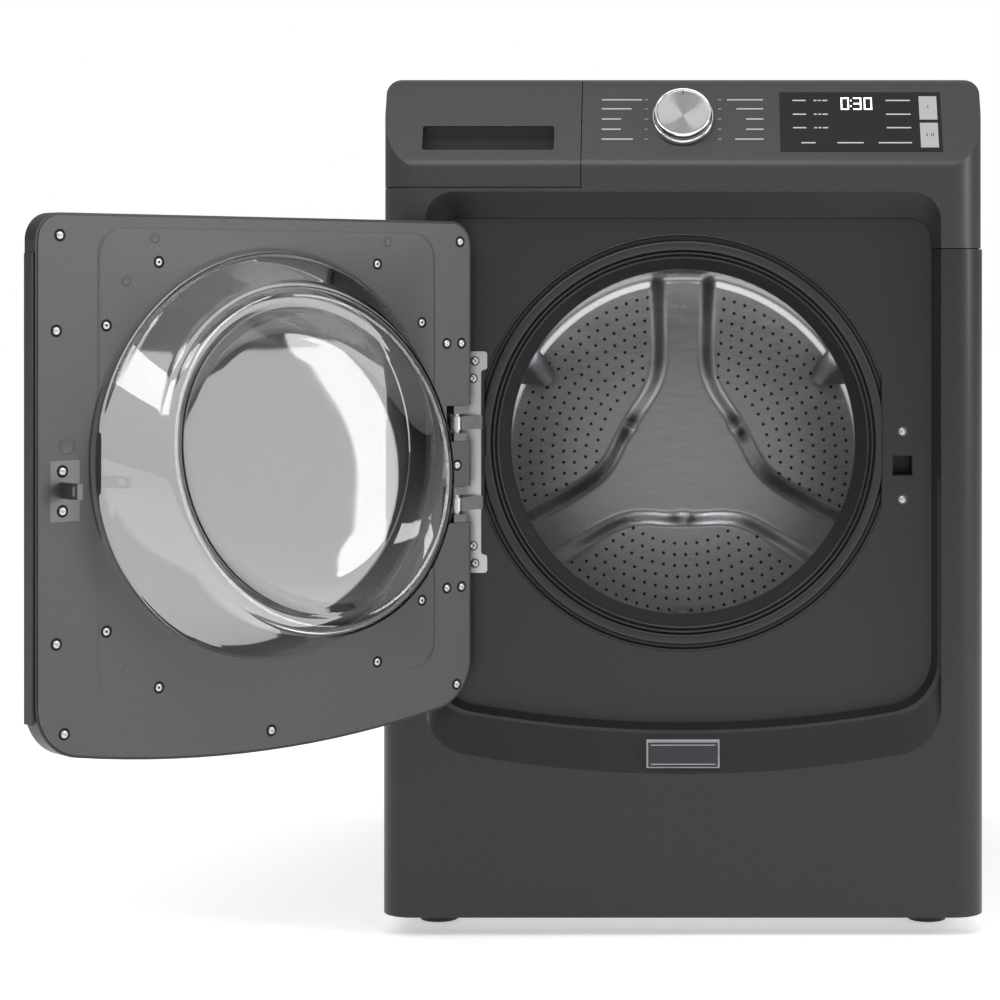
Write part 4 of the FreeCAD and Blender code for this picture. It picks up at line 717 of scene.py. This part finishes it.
def display_marks():
    """The time in seven-segment digits, with plain bars for the options."""
    raised = (-1.05, -0.8)
    digits = digit("0", 181.4, 12.8) + digit("3", 195.7, 12.8) + digit("0", 207.9, 12.8)
    digits += [(192.2, 193.7, 16.8, 18.5), (192.2, 193.7, 24.5, 26.2)]
    slabs("display_digits", digits, DIGITS, "cabinet", SLOPE, raised)
    bars = []
    across = ((126, 15), (150, 3.5), (155, 3.5), (160, 6), (233, 28))
    for row in (25.5, 6.5, -12):
        bars += [(x, x + width, row - 0.8, row + 0.8) for x, width in across]
    bars += [(x, x + width, -33.3, -31.7) for x, width in ((135, 16), (176, 30), (223, 38))]
    slabs("display_bars", bars, ICONS, "cabinet", SLOPE, raised)
    slabs("power_mark", [(280.7, 281.7, 14.5, 18.5)], INK, "power_button", SLOPE, (-1.6, -1.35))
    slabs("start_mark", [(278, 279.2, -24, -20), (283, 284, -24, -20), (285.4, 286.4, -24, -20)], INK,
          "start_button", SLOPE, (-1.6, -1.35))


# ---- studio ----------------------------------------------------------------------------------------

def area_light(name, spot, target, size, power):
    light = bpy.data.lights.new(name, "AREA")
    light.shape = "RECTANGLE"
    light.size, light.size_y = size
    light.energy = power
    lamp = bpy.data.objects.new(name, light)
    lamp.location = spot
    lamp.rotation_euler = (Vector(target) - Vector(spot)).to_track_quat("-Z", "Y").to_euler()
    bpy.context.scene.collection.objects.link(lamp)
    return lamp


def studio_world():
    """White where the camera looks past the object; lit from above and dimmer towards the floor."""
    world = bpy.data.worlds.new("studio")
    world.use_nodes = True
    nodes, links = world.node_tree.nodes, world.node_tree.links
    place = nodes.new("ShaderNodeTexCoord")
    split = nodes.new("ShaderNodeSeparateXYZ")
    links.new(place.outputs["Generated"], split.inputs["Vector"])
    ramp = nodes.new("ShaderNodeValToRGB")
    low, high = ramp.color_ramp.elements
    low.position, low.color = 0.0, (0.16, 0.16, 0.165, 1)
    high.position, high.color = 0.95, (1.0, 1.0, 1.0, 1)
    ramp.color_ramp.elements.new(0.5).color = (0.38, 0.38, 0.385, 1)
    ramp.color_ramp.elements.new(0.8).color = (0.85, 0.85, 0.86, 1)
    links.new(split.outputs["Z"], ramp.inputs["Fac"])
    seen = nodes.new("ShaderNodeLightPath")
    blend = nodes.new("ShaderNodeMix")
    blend.data_type = "RGBA"
    colour_in = [socket for socket in blend.inputs if socket.type == "RGBA"]
    colour_out = [socket for socket in blend.outputs if socket.type == "RGBA"][0]
    colour_in[1].default_value = (1, 1, 1, 1)
    links.new(seen.outputs["Is Camera Ray"], blend.inputs[0])
    links.new(ramp.outputs["Color"], colour_in[0])
    links.new(colour_out, nodes["Background"].inputs["Color"])
    bpy.context.scene.world = world


def studio():
    studio_world()
    bpy.context.scene.view_settings.view_transform = "Standard"
    bpy.ops.mesh.primitive_plane_add(size=60, location=(0, 0, -0.0005))
    floor = bpy.context.object
    floor.name = "floor"
    pale = material("pale_floor", (0.92, 0.92, 0.92), 0.0, 0.7,
                    Emission_Color=(1, 1, 1, 1), Emission_Strength=0.42)
    floor.data.materials.append(pale)
    area_light("key", (-2.4, -2.6, 3.0), (0, -0.3, 0.75), (1.2, 1.2), 34)
    area_light("fill", (2.8, -1.6, 1.5), (-0.3, -0.4, 0.6), (0.8, 1.8), 34)
    area_light("brow", (-0.1, -1.5, 1.9), (0.05, -0.36, 0.93), (1.3, 0.3), 9)
    for side in (-1, 1):
        spot, target = DRUM @ Vector((side * 0.14, 0.04, 0.13)), DRUM @ Vector((-side * 0.05, 0.56, 0))
        lamp = area_light("drum", spot, target, (0.1, 0.1), 0.9)
        lamp.visible_glossy = False


def camera():
    lens = bpy.data.cameras.new("camera")
    lens.lens = 96.6
    lens.sensor_width = 36
    lens.shift_x = -0.183
    lens.shift_y = -0.207
    eye = bpy.data.objects.new("camera", lens)
    eye.location = (0, -3.421, 0.731)
    eye.rotation_euler = (math.radians(90), 0, 0)
    bpy.context.scene.collection.objects.link(eye)
    bpy.context.scene.camera = eye


camera()
studio()
finish_cad_nodes()
soften_edges()
glass_bowl()
liner_field()
all_screws()
mouth_gasket()
drum_back()
drum_perforations()
vanes()
knob()
console_marks()
display_marks()
badge_marks()
rear_details()

import json
